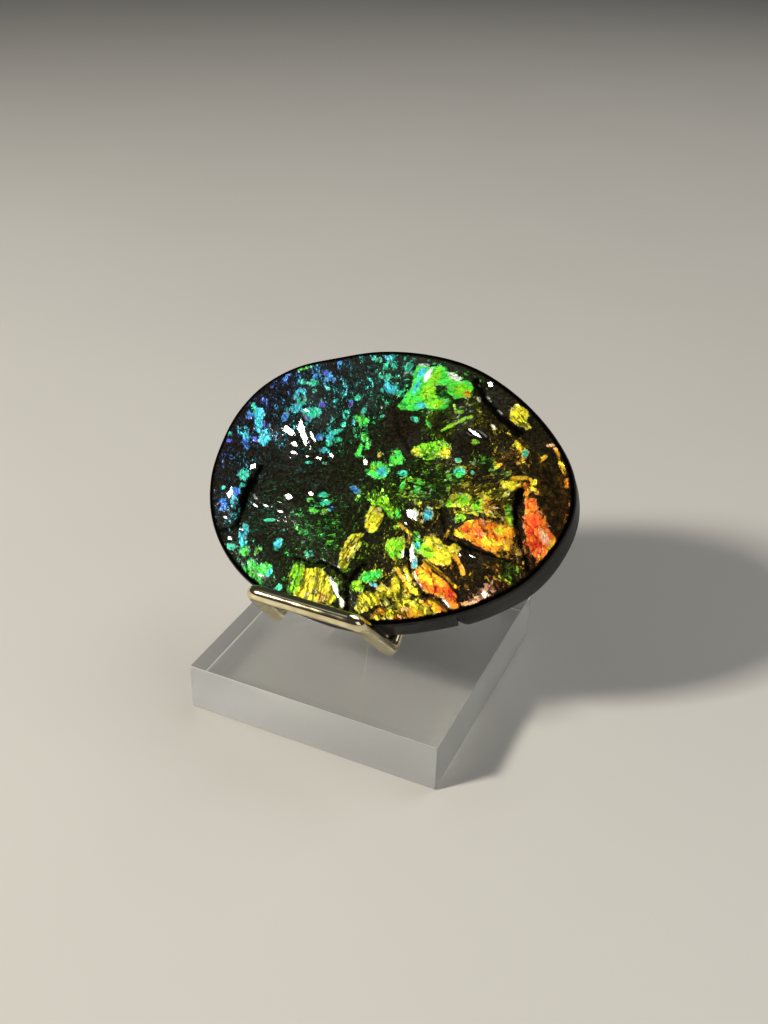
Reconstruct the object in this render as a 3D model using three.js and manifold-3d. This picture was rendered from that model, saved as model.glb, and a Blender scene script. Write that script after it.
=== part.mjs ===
// Ammolite display piece: a polished oval slab of ammolite leaning in a bent gilt wire cradle
// that is planted in a square block of clear acrylic.
// Millimetres, +Z up. Origin: centre of the block's underside; -Y is the front.

import * as THREE from 'three';
import { mergeVertices } from 'three/addons/utils/BufferGeometryUtils.js';
import Module from 'manifold-3d';

// ---------------------------------------------------------------- driving dimensions

const BLOCK_SIDE = 50; // square footprint
const BLOCK_HEIGHT = 9.7;
const BLOCK_CHAMFER = 0.4; // broken edges of the polished block
const SOCKET_RADIUS = 1.7; // drilled along the struts for the feet of the wire
const SOCKET_DEPTH = 4;

const WIRE_RADIUS = 1.4;
const WIRE_SIDES = 12;
const GAP = 0.3; // clearance between touching pieces
const LEAN = THREE.MathUtils.degToRad(50); // how far the stone leans back from upright
const LIP_CENTRE = new THREE.Vector3(-0.55, -24.7, 31); // middle of the bar in front of the stone
const LIP_LENGTH = 19.8; // corner to corner
const LEG_LENGTH = 16.6; // lip to elbow, under the stone
const BACK_SPAN = 22.9; // elbow to elbow: the legs splay a little
const FOOT_SPAN = 17; // foot to foot: the struts close in a little
const FOOT_Y = 20; // where the two struts come down
const LIP_BEND = 1.7; // bend radii of the wire's centre line
const ELBOW_BEND = 1.7;
const CROWN_BEND = 4;

const SLAB_THICKNESS = 7; // face plane to sawn back
const FACE_SETBACK = 7.9; // face plane behind the lip's centre line
const SLAB_CENTRE_X = 2.7; // slab centre from the lip's centre, along the lip
const SLAB_CENTRE_UP = 27.4; // slab centre from the lip's centre, up the slope
const CELLS = 42; // faces of the slab are a grid of CELLS x CELLS
const RIM_CELLS = 3;
const BEVEL_DROP = 0.3; // polished bevel round the face
const BEVEL_INSET = 0.3;
const BACK_ROUND = 0.5; // rounding of the back's edge
const UNDERCUT = 1.5; // the wall is ground away towards the back, low on the right
const FLARE = 0.3; // beside the undercut the wall swells out instead
const EDGE_FADE = 3; // the relief dies out over this width at the rim

// Outline of the face, from its centre, anticlockwise from the right
const OUTLINE = [
  [34.6, 0.6], [32.7, 9.2], [27, 16.1], [18.6, 22], [9, 25.9], [-0.6, 26.8], [-10.2, 25.5],
  [-18.6, 22.3], [-25.7, 18.8], [-31, 13.6], [-34, 7.1], [-34.8, 0], [-34, -7.3], [-30.8, -14.4],
  [-25.4, -20.3], [-18.2, -24.5], [-9.6, -26.4], [-1, -26.9], [7.6, -25.6], [16, -22.3], [24.5, -17.1],
  [31.3, -9.8],
];

// Swellings of the polished face: centre x, y, radii, turn in degrees, height
const SWELLINGS = [
  [12.6, 11.2, 6.2, 6, 0, 1.3], // dark dome right of the middle
  [22, 9.4, 4, 4, 0, 0.8],
  [29.6, 5, 3.6, 7, 8, 0.9], // brown lobe at the right rim
  [29.6, -3, 2.6, 6.4, 28, 0.7], // red blade beside it
  [20.5, -5, 6.4, 3.2, 0, 0.8],
  [14, -10, 5.4, 3, -22, 0.7],
  [15.6, -15.9, 5.8, 2.6, -26, 1.0], // orange blade
  [23.6, -12, 4.6, 4, 0, 1.1], // dark dome, lower right
  [6.4, -11.4, 2.6, 3.8, 0, 0.7],
  [-5.6, -22, 6, 4.2, 0, 1.2], // yellow scale at the lower edge
  [5.2, -21.4, 4, 3.6, 0, 0.8],
  [13, -20.6, 6, 2.6, -26, 0.5],
  [-2, -13, 2.6, 5, -12, 0.6],
  [0.6, -7, 3.2, 2.6, 0, 0.6],
  [3, 20, 7.4, 5, 0, 1.0], // green field at the top
  [6.6, 8, 4.8, 2.4, 15, 0.6],
  [20, 18.2, 3.2, 2.6, -35, 0.8],
  [-20, 7, 6.6, 5, -40, 1.3], // blue shoulder
  [-14, -8, 8, 5, 0, 0.7],
  [-29, -7.4, 2.8, 6.4, -8, 0.9], // lobe outside the long crevice
  [-9, 10.4, 4, 3.4, 0, 0.5],
  [7.6, -3.8, 3.4, 2.4, 0, 0.6],
];

// Crevices: route of the bottom, half width, depth
const CREVICES = [
  { route: [[-24.8, -2.4], [-25.4, -7], [-25, -11], [-24.2, -14.6]], width: 1.9, depth: 1.3 },
  { route: [[-24.2, -14.8], [-27.4, -17.2]], width: 1.7, depth: 0.6 },
  { route: [[9.6, 23.4], [12.5, 20.4], [16.6, 17.4], [21, 14.8]], width: 1.8, depth: 0.9 },
  { route: [[24.8, 5], [24.5, 1], [25.8, -3], [28.4, -7.4], [30.4, -10]], width: 1.8, depth: 1 },
  { route: [[1.8, -15.6], [0.4, -19], [1.2, -22.2], [2.2, -25]], width: 1.8, depth: 1 },
  { route: [[8.6, -8.4], [9, -12], [10.6, -15.2], [14, -17.9], [19.4, -19.4]], width: 1.7, depth: 0.8 },
  { route: [[12, -12.2], [16, -13.7], [20, -16.6]], width: 1.6, depth: 0.4 },
  { route: [[14, -7.4], [19, -8.2], [24.4, -8.1], [28, -8.4]], width: 1.6, depth: 0.6 },
  { route: [[-3.4, 14.4], [-1, 10.2], [2.4, 6.6]], width: 1.8, depth: 0.5 },
  { route: [[11.4, -2.8], [13.4, -5.4], [14.8, -7.6]], width: 1.6, depth: 0.4 },
];

// ---------------------------------------------------------------- shared frame of the lean

const SLOPE_UP = new THREE.Vector3(0, Math.sin(LEAN), Math.cos(LEAN)); // up the face
const OUTWARD = new THREE.Vector3(0, -Math.cos(LEAN), Math.sin(LEAN)); // out of the face
const ALONG = new THREE.Vector3(1, 0, 0);

/** A point given from the lip's centre: along the lip, up the slope, out of the face. */
function fromLip(along, up, out) {
  return LIP_CENTRE.clone()
    .addScaledVector(ALONG, along)
    .addScaledVector(SLOPE_UP, up)
    .addScaledVector(OUTWARD, out);
}

// ---------------------------------------------------------------- solids and booleans

const wasm = await Module();
wasm.setup();

/** Turns a closed BufferGeometry into a manifold solid. */
function toSolid(geometry) {
  const bare = geometry.clone();
  bare.deleteAttribute('normal');
  bare.deleteAttribute('uv');
  const merged = mergeVertices(bare, 1e-4);
  return new wasm.Manifold(new wasm.Mesh({
    numProp: 3,
    vertProperties: new Float32Array(merged.attributes.position.array),
    triVerts: new Uint32Array(merged.index.array),
  }));
}

/** Turns a manifold solid back into a BufferGeometry. */
function toGeometry(solid) {
  const mesh = solid.getMesh();
  const geometry = new THREE.BufferGeometry();
  geometry.setAttribute('position', new THREE.BufferAttribute(mesh.vertProperties, 3));
  geometry.setIndex(new THREE.BufferAttribute(mesh.triVerts, 1));
  geometry.computeVertexNormals();
  return geometry;
}

// ---------------------------------------------------------------- clear block

/** A square with its corners cut off by the chamfer. */
function chamferedSquare(side, cut) {
  const half = side / 2;
  const shape = new THREE.Shape();
  shape.moveTo(half, -half + cut);
  shape.lineTo(half, half - cut);
  shape.lineTo(half - cut, half);
  shape.lineTo(-half + cut, half);
  shape.lineTo(-half, half - cut);
  shape.lineTo(-half, -half + cut);
  shape.lineTo(-half + cut, -half);
  shape.lineTo(half - cut, -half);
  shape.closePath();
  return shape;
}

function acrylicBlock() {
  const slab = new THREE.ExtrudeGeometry(chamferedSquare(BLOCK_SIDE - 2 * BLOCK_CHAMFER, BLOCK_CHAMFER), {
    depth: BLOCK_HEIGHT - 2 * BLOCK_CHAMFER,
    bevelEnabled: true,
    bevelThickness: BLOCK_CHAMFER,
    bevelSize: BLOCK_CHAMFER,
    bevelSegments: 1,
  });
  slab.translate(0, 0, BLOCK_CHAMFER);
  let solid = toSolid(slab);
  for (const side of [-1, 1]) {
    const [{ at: foot }, { at: crown }] = sideCorners(side);
    const strut = crown.clone().sub(foot).normalize();
    const mouth = foot.clone().addScaledVector(strut, SOCKET_DEPTH - GAP);
    const drill = new THREE.CylinderGeometry(SOCKET_RADIUS, SOCKET_RADIUS, 2 * SOCKET_DEPTH, 24);
    drill.applyQuaternion(new THREE.Quaternion().setFromUnitVectors(new THREE.Vector3(0, 1, 0), strut));
    drill.translate(mouth.x, mouth.y, mouth.z);
    solid = solid.subtract(toSolid(drill));
  }
  return toGeometry(solid);
}

// ---------------------------------------------------------------- wire cradle

/** Bends and straights run end to end; each keeps its own number of steps. */
class WireRoute extends THREE.Curve {
  constructor(stretches) {
    super();
    this.stretches = stretches;
    this.steps = stretches.reduce((sum, stretch) => sum + stretch.steps, 0);
  }

  getPoint(t, target = new THREE.Vector3()) {
    let left = t * this.steps;
    for (const stretch of this.stretches) {
      if (left <= stretch.steps || stretch === this.stretches.at(-1)) {
        return stretch.curve.getPoint(Math.min(left / stretch.steps, 1), target);
      }
      left -= stretch.steps;
    }
    return target;
  }

  getUtoTmapping(u) {
    return u;
  }
}

/** Straights between corners, with a round bend of its own radius at each corner. */
function bentWire(corners) {
  const stretches = [];
  let from = corners[0].at;
  for (let i = 1; i < corners.length - 1; i += 1) {
    const { at, bend, steps } = corners[i];
    const inward = at.clone().sub(corners[i - 1].at).normalize();
    const onward = corners[i + 1].at.clone().sub(at).normalize();
    const turn = inward.angleTo(onward);
    const tangent = bend * Math.tan(turn / 2);
    const handle = (4 / 3) * bend * Math.tan(turn / 4);
    const start = at.clone().addScaledVector(inward, -tangent);
    const end = at.clone().addScaledVector(onward, tangent);
    stretches.push({ curve: new THREE.LineCurve3(from, start), steps: 1 });
    stretches.push({
      curve: new THREE.CubicBezierCurve3(
        start,
        start.clone().addScaledVector(inward, handle),
        end.clone().addScaledVector(onward, -handle),
        end,
      ),
      steps,
    });
    from = end;
  }
  stretches.push({ curve: new THREE.LineCurve3(from, corners.at(-1).at), steps: 1 });
  return new WireRoute(stretches);
}

/** The corners of one side, from the foot in its socket to the lip. */
function sideCorners(side) {
  const elbow = fromLip(side * BACK_SPAN / 2, 0, -LEG_LENGTH);
  const climb = (FOOT_Y - elbow.y) / SLOPE_UP.y; // the back rest climbs until it is over the foot
  const crown = elbow.clone().addScaledVector(SLOPE_UP, climb);
  const footX = LIP_CENTRE.x + side * FOOT_SPAN / 2;
  const foot = new THREE.Vector3(footX, FOOT_Y, BLOCK_HEIGHT - SOCKET_DEPTH + GAP);
  return [
    { at: foot },
    { at: crown, bend: CROWN_BEND, steps: 7 },
    { at: elbow, bend: ELBOW_BEND, steps: 5 },
    { at: fromLip(side * LIP_LENGTH / 2, 0, 0), bend: LIP_BEND, steps: 5 },
  ];
}

function wireCradle() {
  const route = bentWire([...sideCorners(-1), ...sideCorners(1).reverse()]);
  const section = new THREE.Shape();
  section.absarc(0, 0, WIRE_RADIUS, 0, 2 * Math.PI);
  return new THREE.ExtrudeGeometry(section, {
    steps: route.steps,
    extrudePath: route,
    curveSegments: WIRE_SIDES / 2, // the arc class makes twice this number
    bevelEnabled: false,
  });
}

// ---------------------------------------------------------------- ammolite slab

const outlineCurve = new THREE.CatmullRomCurve3(
  OUTLINE.map(([x, y]) => new THREE.Vector3(x, y, 0)), true, 'catmullrom', 0.5,
);

/** Outline radius by direction, looked up on the closed curve. */
const outlineTable = Array.from({ length: 720 }, (_, i) => outlineCurve.getPoint(i / 720))
  .map((point) => ({ angle: Math.atan2(point.y, point.x), radius: Math.hypot(point.x, point.y) }))
  .sort((a, b) => a.angle - b.angle);

function outlineRadius(angle) {
  const table = outlineTable;
  const next = table.findIndex((entry) => entry.angle > angle);
  const high = next < 0 ? { ...table[0], angle: table[0].angle + 2 * Math.PI } : table[next];
  const low = next === 0 ? { ...table.at(-1), angle: table.at(-1).angle - 2 * Math.PI }
    : table[(next < 0 ? table.length : next) - 1];
  const share = (angle - low.angle) / (high.angle - low.angle);
  return THREE.MathUtils.lerp(low.radius, high.radius, share);
}

/** Distance from a point to a broken line. */
function distanceToRoute(x, y, route) {
  let nearest = Infinity;
  for (let i = 1; i < route.length; i += 1) {
    const [ax, ay] = route[i - 1];
    const [bx, by] = route[i];
    const along = ((x - ax) * (bx - ax) + (y - ay) * (by - ay)) / ((bx - ax) ** 2 + (by - ay) ** 2);
    const t = THREE.MathUtils.clamp(along, 0, 1);
    nearest = Math.min(nearest, Math.hypot(x - ax - t * (bx - ax), y - ay - t * (by - ay)));
  }
  return nearest;
}

/** Height of the polished relief over the face plane. */
function relief(x, y) {
  let height = 0.25 * Math.sin(0.31 * x + 0.8) * Math.cos(0.27 * y - 0.4)
    + 0.15 * Math.sin(0.62 * x - 0.45 * y + 1.3);
  for (const [cx, cy, rx, ry, turn, rise] of SWELLINGS) {
    const a = THREE.MathUtils.degToRad(turn);
    const u = ((x - cx) * Math.cos(a) + (y - cy) * Math.sin(a)) / rx;
    const v = (-(x - cx) * Math.sin(a) + (y - cy) * Math.cos(a)) / ry;
    height += rise * Math.exp(-(u * u + v * v));
  }
  for (const { route, width, depth } of CREVICES) {
    height -= depth * Math.exp(-((distanceToRoute(x, y, route) / width) ** 2));
  }
  return height;
}

/** How much of the undercut a direction gets: it ends in an old break on its right. */
function undercutShare(angle) {
  const degrees = THREE.MathUtils.radToDeg(angle);
  return THREE.MathUtils.smoothstep(degrees, -78, -64) - THREE.MathUtils.smoothstep(degrees, -47, -42);
}

/** How much of the flare a direction gets: from the old break round to the right. */
function flareShare(angle) {
  const degrees = THREE.MathUtils.radToDeg(angle);
  return THREE.MathUtils.smoothstep(degrees, -47, -42) - THREE.MathUtils.smoothstep(degrees, -14, 4);
}

/** A square grid point turned into a disc point: the rings stay rings. */
function squareToDisc(a, b) {
  if (a === 0 && b === 0) return { ring: 0, angle: 0 };
  if (Math.abs(a) >= Math.abs(b)) {
    const angle = (Math.PI / 4) * (b / a) + (a < 0 ? Math.PI : 0);
    return { ring: Math.abs(a), angle };
  }
  return { ring: Math.abs(b), angle: Math.PI / 2 - (Math.PI / 4) * (a / b) + (b < 0 ? Math.PI : 0) };
}

/** Where a point of the unit block (each side from -1 to 1) goes in the slab. */
function slabPoint(a, b, c) {
  const { ring, angle: turned } = squareToDisc(a, b);
  const angle = Math.atan2(Math.sin(turned), Math.cos(turned));
  const edge = outlineRadius(angle);
  const face = c > 0.99;
  const back = c < -0.99;
  const undercut = UNDERCUT * undercutShare(angle);
  const flare = FLARE * flareShare(angle);
  let inset = c > 0 ? 0.2 * undercut : 0.85 * undercut - flare;
  if (face) inset = BEVEL_INSET;
  if (back) inset = BACK_ROUND + undercut - flare;
  const radius = ring * (edge - inset);
  const x = radius * Math.cos(angle);
  const y = radius * Math.sin(angle);
  if (back) return [x, y, -SLAB_THICKNESS];
  const fromEdge = (1 - ring) * edge;
  if (face) {
    const fade = THREE.MathUtils.smoothstep(fromEdge, 0, EDGE_FADE);
    const drop = BEVEL_DROP * (1 - THREE.MathUtils.smoothstep(fromEdge, 0, 1));
    return [x, y, relief(x, y) * fade - drop];
  }
  const depth = c > 0 ? BEVEL_DROP + 0.8 : SLAB_THICKNESS - BACK_ROUND;
  return [x, y, -depth];
}

function ammoliteSlab() {
  const block = new THREE.BoxGeometry(2, 2, 2, CELLS, CELLS, RIM_CELLS);
  block.deleteAttribute('normal');
  block.deleteAttribute('uv');
  const geometry = mergeVertices(block, 1e-5);
  const position = geometry.attributes.position;
  for (let i = 0; i < position.count; i += 1) {
    const [x, y, z] = slabPoint(position.getX(i), position.getY(i), position.getZ(i));
    position.setXYZ(i, x, y, z);
  }
  geometry.computeVertexNormals();
  return geometry;
}

// ---------------------------------------------------------------- materials and assembly

const gilt = new THREE.MeshStandardMaterial({ color: 0xd9bd7a, roughness: 0.18, metalness: 1 });
const acrylic = new THREE.MeshStandardMaterial({
  color: 0xe9ebe8, roughness: 0.06, metalness: 0, transparent: true, opacity: 0.3,
});
const ammolite = new THREE.MeshStandardMaterial({ color: 0x3a3321, roughness: 0.12, metalness: 0 });

function named(name, geometry, material) {
  const mesh = new THREE.Mesh(geometry, material);
  mesh.name = name;
  return mesh;
}

const part = new THREE.Group();
part.add(named('acrylic_block', acrylicBlock(), acrylic));
part.add(named('wire_cradle', wireCradle(), gilt));

const leaning = new THREE.Group();
leaning.position.copy(fromLip(SLAB_CENTRE_X, SLAB_CENTRE_UP, -FACE_SETBACK));
leaning.rotation.x = Math.PI / 2 - LEAN;
leaning.add(named('ammolite_slab', ammoliteSlab(), ammolite));
part.add(leaning);

export default part;
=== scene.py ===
# %% [markdown]
# # An ammolite specimen on its stand
# The real object is three pieces: a polished slab of fossil ammonite shell, one bent gilt wire that
# cradles it, and a square block of clear acrylic that holds the wire's two feet.
# A measured model of all three is loaded first. Every piece made here then goes where that model
# says, so nothing has to be fitted by eye. Blender counts in metres, but a slab this small is easier
# to think of in millimetres, so the numbers below are millimetres and MM turns them into metres.

import math

import bpy
import numpy as np
from mathutils import Matrix, Vector


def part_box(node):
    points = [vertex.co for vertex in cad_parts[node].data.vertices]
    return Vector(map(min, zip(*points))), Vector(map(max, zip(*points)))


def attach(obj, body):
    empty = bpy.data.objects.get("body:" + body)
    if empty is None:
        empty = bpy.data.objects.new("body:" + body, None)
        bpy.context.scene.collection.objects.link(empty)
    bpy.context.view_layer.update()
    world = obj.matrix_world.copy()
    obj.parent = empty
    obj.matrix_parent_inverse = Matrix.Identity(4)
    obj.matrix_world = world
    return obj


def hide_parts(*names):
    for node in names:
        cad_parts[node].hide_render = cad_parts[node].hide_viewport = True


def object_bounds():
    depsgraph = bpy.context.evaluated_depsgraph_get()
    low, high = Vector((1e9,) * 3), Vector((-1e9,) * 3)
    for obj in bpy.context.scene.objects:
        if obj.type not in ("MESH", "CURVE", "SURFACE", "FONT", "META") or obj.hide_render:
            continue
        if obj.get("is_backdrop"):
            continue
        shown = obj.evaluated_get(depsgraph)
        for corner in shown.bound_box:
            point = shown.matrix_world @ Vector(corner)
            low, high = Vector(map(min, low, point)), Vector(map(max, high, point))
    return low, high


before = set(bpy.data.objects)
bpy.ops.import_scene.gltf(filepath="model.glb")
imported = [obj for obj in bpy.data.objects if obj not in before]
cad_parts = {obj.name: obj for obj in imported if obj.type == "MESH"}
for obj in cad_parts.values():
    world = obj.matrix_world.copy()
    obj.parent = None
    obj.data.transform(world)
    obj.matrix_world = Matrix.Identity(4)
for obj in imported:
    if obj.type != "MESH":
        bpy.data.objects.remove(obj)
MM = 0.001
cad_box = [list(corner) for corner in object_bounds()]
for node_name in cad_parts:
    low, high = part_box(node_name)
    print(node_name, "measures", [round(side / MM, 1) for side in high - low], "mm")

# %% [markdown]
# ## Where the stone leans
# The stone leans back in the cradle, so its face is a tilted plane. It is much simpler to model the
# face flat, with x along its length, y up the slope and z out of the stone, and to tip the finished
# mesh. The frame of the lean is three unit vectors and one origin: the middle of the wire's lip.

# %% The frame of the lean
LEAN = math.radians(50)  # how far the stone leans back from upright
LIP_CENTRE = np.array([-0.55, -24.7, 31.0])  # middle of the wire bar in front of the stone
ALONG = np.array([1.0, 0.0, 0.0])
SLOPE_UP = np.array([0.0, math.sin(LEAN), math.cos(LEAN)])
OUTWARD = np.array([0.0, -math.cos(LEAN), math.sin(LEAN)])


def from_lip(along, up, out):
    """A point in millimetres: along the lip, up the slope, out of the stone's face."""
    return LIP_CENTRE + along * ALONG + up * SLOPE_UP + out * OUTWARD


FACE_CENTRE = from_lip(2.7, 27.4, -7.9)
print("middle of the stone's face", FACE_CENTRE.round(2), "mm")

# %% [markdown]
# ## Outline of the slab
# The slab was sawn and ground to an uneven oval, a little flatter at the upper left. Such an outline
# could be drawn as a Bezier curve in Blender. Here it is a closed Catmull-Rom curve through a few
# points, because its radius in any direction is then a plain number that the mesh below can use.

# %% Outline of the slab
OUTLINE = [
    (34.6, 0.6), (32.7, 9.2), (27, 16.1), (18.6, 22), (9, 25.9), (-0.6, 26.8), (-10.2, 25.5),
    (-18.6, 22.3), (-25.7, 18.8), (-31, 13.6), (-34, 7.1), (-34.8, 0), (-34, -7.3), (-30.8, -14.4),
    (-25.4, -20.3), (-18.2, -24.5), (-9.6, -26.4), (-1, -26.9), (7.6, -25.6), (16, -22.3),
    (24.5, -17.1), (31.3, -9.8),
]


def smooth_loop(points, steps):
    """Points on the closed Catmull-Rom curve through the given ones."""
    p1 = np.array(points, float)
    p0, p2, p3 = np.roll(p1, 1, 0), np.roll(p1, -1, 0), np.roll(p1, -2, 0)
    curve = []
    for t in np.arange(steps) / steps:
        curve.append(0.5 * (2 * p1 + (p2 - p0) * t + (2 * p0 - 5 * p1 + 4 * p2 - p3) * t**2
                            + (3 * p1 - p0 - 3 * p2 + p3) * t**3))
    return np.stack(curve, 1).reshape(-1, 2)


loop = smooth_loop(OUTLINE, 40)
loop_angle = np.arctan2(loop[:, 1], loop[:, 0])
loop_radius = np.hypot(loop[:, 0], loop[:, 1])


def outline_radius(angle):
    """Distance from the middle of the face to its edge, in a direction."""
    return np.interp(angle, *zip(*sorted(zip(loop_angle, loop_radius))), period=2 * math.pi)


print("outline spans", np.ptp(loop, axis=0).round(1), "mm")

# %% [markdown]
# ## Small tools for shapes on the face
# Most of what follows is painted or pushed up over some area of the face: an oval, a plate with
# corners, or a line. Each of these tools takes all the points of the face at once, as numpy arrays,
# and gives one number a point. That is far quicker than a Python loop over a dense mesh. The noise
# is a small table of seeded random numbers with smooth steps between them, so each run is the same.

# %% Small tools for shapes on the face
def ease(value, start, end):
    """0 before start, 1 after end, smooth between."""
    t = np.clip((value - start) / (end - start), 0, 1)
    return t * t * (3 - 2 * t)


def lumps(x, y, size, seed):
    """Smooth random numbers from -1 to 1, in lumps of a size in millimetres."""
    table = np.random.default_rng(seed).uniform(-1, 1, (64, 64))
    u, v = x / size + 31.7, y / size + 17.3
    i, j = np.floor(u).astype(int), np.floor(v).astype(int)
    s, t = ease(u - i, 0, 1), ease(v - j, 0, 1)
    row = [table[i % 64, (j + k) % 64] * (1 - s) + table[(i + 1) % 64, (j + k) % 64] * s for k in (0, 1)]
    return row[0] * (1 - t) + row[1] * t


def oval_reach(x, y, cx, cy, rx, ry, turn=0):
    """0 in the middle of a turned oval, 1 on its edge, more outside."""
    a = math.radians(turn)
    u = ((x - cx) * math.cos(a) + (y - cy) * math.sin(a)) / rx
    v = ((y - cy) * math.cos(a) - (x - cx) * math.sin(a)) / ry
    return np.hypot(u, v)


def line_distance(x, y, route):
    """Distance to a broken line."""
    nearest = np.full(x.shape, 1e9)
    for (ax, ay), (bx, by) in zip(route, route[1:]):
        t = np.clip(((x - ax) * (bx - ax) + (y - ay) * (by - ay)) / ((bx - ax)**2 + (by - ay)**2), 0, 1)
        nearest = np.minimum(nearest, np.hypot(x - ax - t * (bx - ax), y - ay - t * (by - ay)))
    return nearest


def plate_depth(x, y, corners):
    """How far a point lies inside a plate with corners; negative outside it."""
    inside = np.zeros(x.shape, bool)
    for (ax, ay), (bx, by) in zip(corners, corners[1:] + corners[:1]):
        if ay != by:
            inside ^= ((ay > y) != (by > y)) & (x < ax + (y - ay) * (bx - ax) / (by - ay))
    edge = line_distance(x, y, corners + corners[:1])
    return np.where(inside, edge, -edge)


print("a quarter of the way, a smooth step has come to", ease(0.25, 0, 1))

# %% [markdown]
# ## The polished relief
# The cutter polished away the rock and stopped at the shell, which lies in waves. So the face is not
# flat: broad swellings, and narrow crevices where two plates of shell meet. A sculpt would do, but a
# short list of swellings and crevices keeps each one named, placed and easy to change. Here they are
# lower than in the measured model: under a clear coat a slope of a few degrees is plain to see, and a
# steeper one mirrors the lamp all along its flank. Each crevice also says how dark its bottom is.
#
# The last list holds small flats that the polishing wheel left. Each is tipped so that it mirrors the
# main lamp at the camera: a flat facing halfway between the two flashes white. That halfway tip
# changes slowly over the stone, so it is worked out from the place of each flat.

# %% The polished relief
SWELLINGS = [  # centre x, y, radii, turn in degrees, height
    (12.6, 11.2, 6.2, 6, 0, 0.9),  # dark dome right of the middle
    (22, 9.4, 4, 4, 0, 0.8),
    (29.6, 5, 3.6, 7, 8, 0.7),  # brown lobe at the right rim
    (29.6, -3, 2.6, 6.4, 28, 0.2),  # red blade beside it
    (20.5, -5, 6.4, 3.2, 0, 0.3),
    (14, -10, 5.4, 3, -22, 0.25),
    (15.6, -15.9, 5.8, 2.6, -26, 0.15),  # orange blade
    (23.6, -12, 4.6, 4, 0, 0.5),  # dark dome, lower right
    (6.4, -11.4, 2.6, 3.8, 0, 0.2),
    (-5.6, -22, 6, 4.2, 0, 0.12),  # yellow scale at the lower edge
    (5.2, -21.4, 4, 3.6, 0, 0.1),
    (13, -20.6, 6, 2.6, -26, 0.15),
    (-2, -13, 2.6, 5, -12, 0.15),
    (0.6, -7, 3.2, 2.6, 0, 0.2),
    (3, 20, 7.4, 5, 0, 0.6),  # green field at the top
    (6.6, 8, 4.8, 2.4, 15, 0.12),
    (20, 18.2, 3.2, 2.6, -35, 0.45),
    (-20, 7, 6.6, 5, -40, 0.7),  # blue shoulder
    (-14, -8, 8, 5, 0, 0.3),
    (-29, -7.4, 2.8, 6.4, -8, 0.2),  # lobe outside the long crevice
    (-9, 10.4, 4, 3.4, 0, 0.3),
    (7.6, -3.8, 3.4, 2.4, 0, 0.25),
]

# The last column is painted shade: how dark the bottom of each crevice is made.
CREVICES = [  # route of the bottom, half width, depth, how dark
    ([(-24.5, -2.6), (-24.9, -6)], 0.5, 0.1, 1.0),
    ([(-25, -6), (-25.3, -8.5), (-25, -11.4)], 1.0, 0.3, 1.0),
    ([(-25, -11), (-24.5, -14.6)], 0.6, 0.1, 1.0),
    ([(-24.2, -14.8), (-27.4, -16.8)], 0.5, 0.06, 0.8),
    ([(9.8, 23.2), (12.5, 20.2), (16.6, 17), (21, 14.8)], 0.8, 0.08, 0.95),
    ([(24.4, 4.4), (24.6, 1), (25.3, -1.5)], 0.8, 0.1, 1.0),
    ([(25.3, -1.5), (27, -4.6), (30, -9)], 0.5, 0.05, 0.95),
    ([(1.8, -15.6), (0.6, -18), (0.2, -20), (0.9, -22.4), (1.8, -25)], 0.6, 0.06, 0.95),
    ([(8.6, -8.4), (9, -12), (10.6, -15.2), (14, -17.9), (19.4, -19.4)], 0.3, 0.03, 0.85),
    ([(12, -12.2), (16, -13.7), (20, -16.6)], 0.28, 0.03, 0.85),
    ([(14, -7.4), (19, -8), (24.4, -8.3), (28, -8.6)], 0.32, 0.03, 0.85),
    ([(-3.4, 14.4), (-1, 10.2), (2.4, 6.6)], 0.4, 0.04, 0.5),
    ([(11.6, -2), (13, -4.6), (14.8, -7.6)], 0.4, 0.03, 0.8),
    ([(-11, -17.8), (-8, -18), (-5.6, -17.2), (-2.8, -17.8), (-0.4, -19)], 0.4, 0.03, 0.9),
]
FLATS = [  # little polished flats that throw the main light at the eye: x, y, radii, turn if any
    (-18.8, 5.6, 3.1, 0.85, -60), (-21.7, 5.3, 1.5, 0.65, -35), (-16.6, 5.2, 1.4, 0.5, -50),
    (-19.4, 3, 0.7, 0.6), (-11.8, 2.6, 0.7, 0.5, -20), (-14, 1.5, 1, 0.32, 15), (-16.4, 1.2, 0.5, 0.4),
    (-19.2, 1.3, 0.5, 0.4), (-20, 10, 0.9, 0.4), (-5, 2.9, 0.5, 0.8), (13.4, 12.7, 1.6, 0.5, -15),
    (12.7, 23.1, 0.6, 0.8), (18.9, 20.1, 0.6, 0.35), (0.7, 22, 0.5, 1.4, -15), (-28.4, -9.3, 0.5, 1.5, 5),
    (-26.2, -3.2, 0.5, 1.1, -30), (-16.8, -7.1, 0.7, 0.7), (-12.7, -5.6, 0.6, 0.5),
    (-22.6, -10.4, 0.6, 0.3, -15), (-20.4, -9.9, 0.6, 0.25, 5), (-19.2, -9.7, 0.4, 0.2),
    (-17.3, -10.3, 0.5, 0.3), (-18.2, -8.6, 0.4, 0.3), (6.8, -4.6, 0.8, 0.9), (8, -5.3, 0.5, 0.4),
    (9.4, -11.4, 0.45, 1.9, 12), (8, -12, 0.3, 1), (-1.8, -21.3, 1.7, 0.4, -45), (0.6, -23.4, 0.5, 0.7),
    (17.8, -9.6, 0.5, 0.5), (20, -9.2, 0.8, 0.3), (-27.4, -14.1, 0.4, 0.3), (-25, -17.7, 0.5, 0.4),
    (-23.4, -15.5, 0.35, 0.3), (18.4, -18.4, 0.9, 0.3, -25), (6.6, -6.6, 0.4, 0.3),
    (10.3, -16, 0.9, 0.3, -45), (24.2, -15, 0.8, 0.5, 20), (16.2, 14.8, 0.35, 0.3),
    (13.1, 20.3, 0.5, 0.12, -40),
]
EDGE_FADE = 7  # the relief dies out over this width at the rim
LONG_WAVE, SHORT_WAVE = 0.12, 0.04  # heights of the gentle waves all over the face


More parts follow.
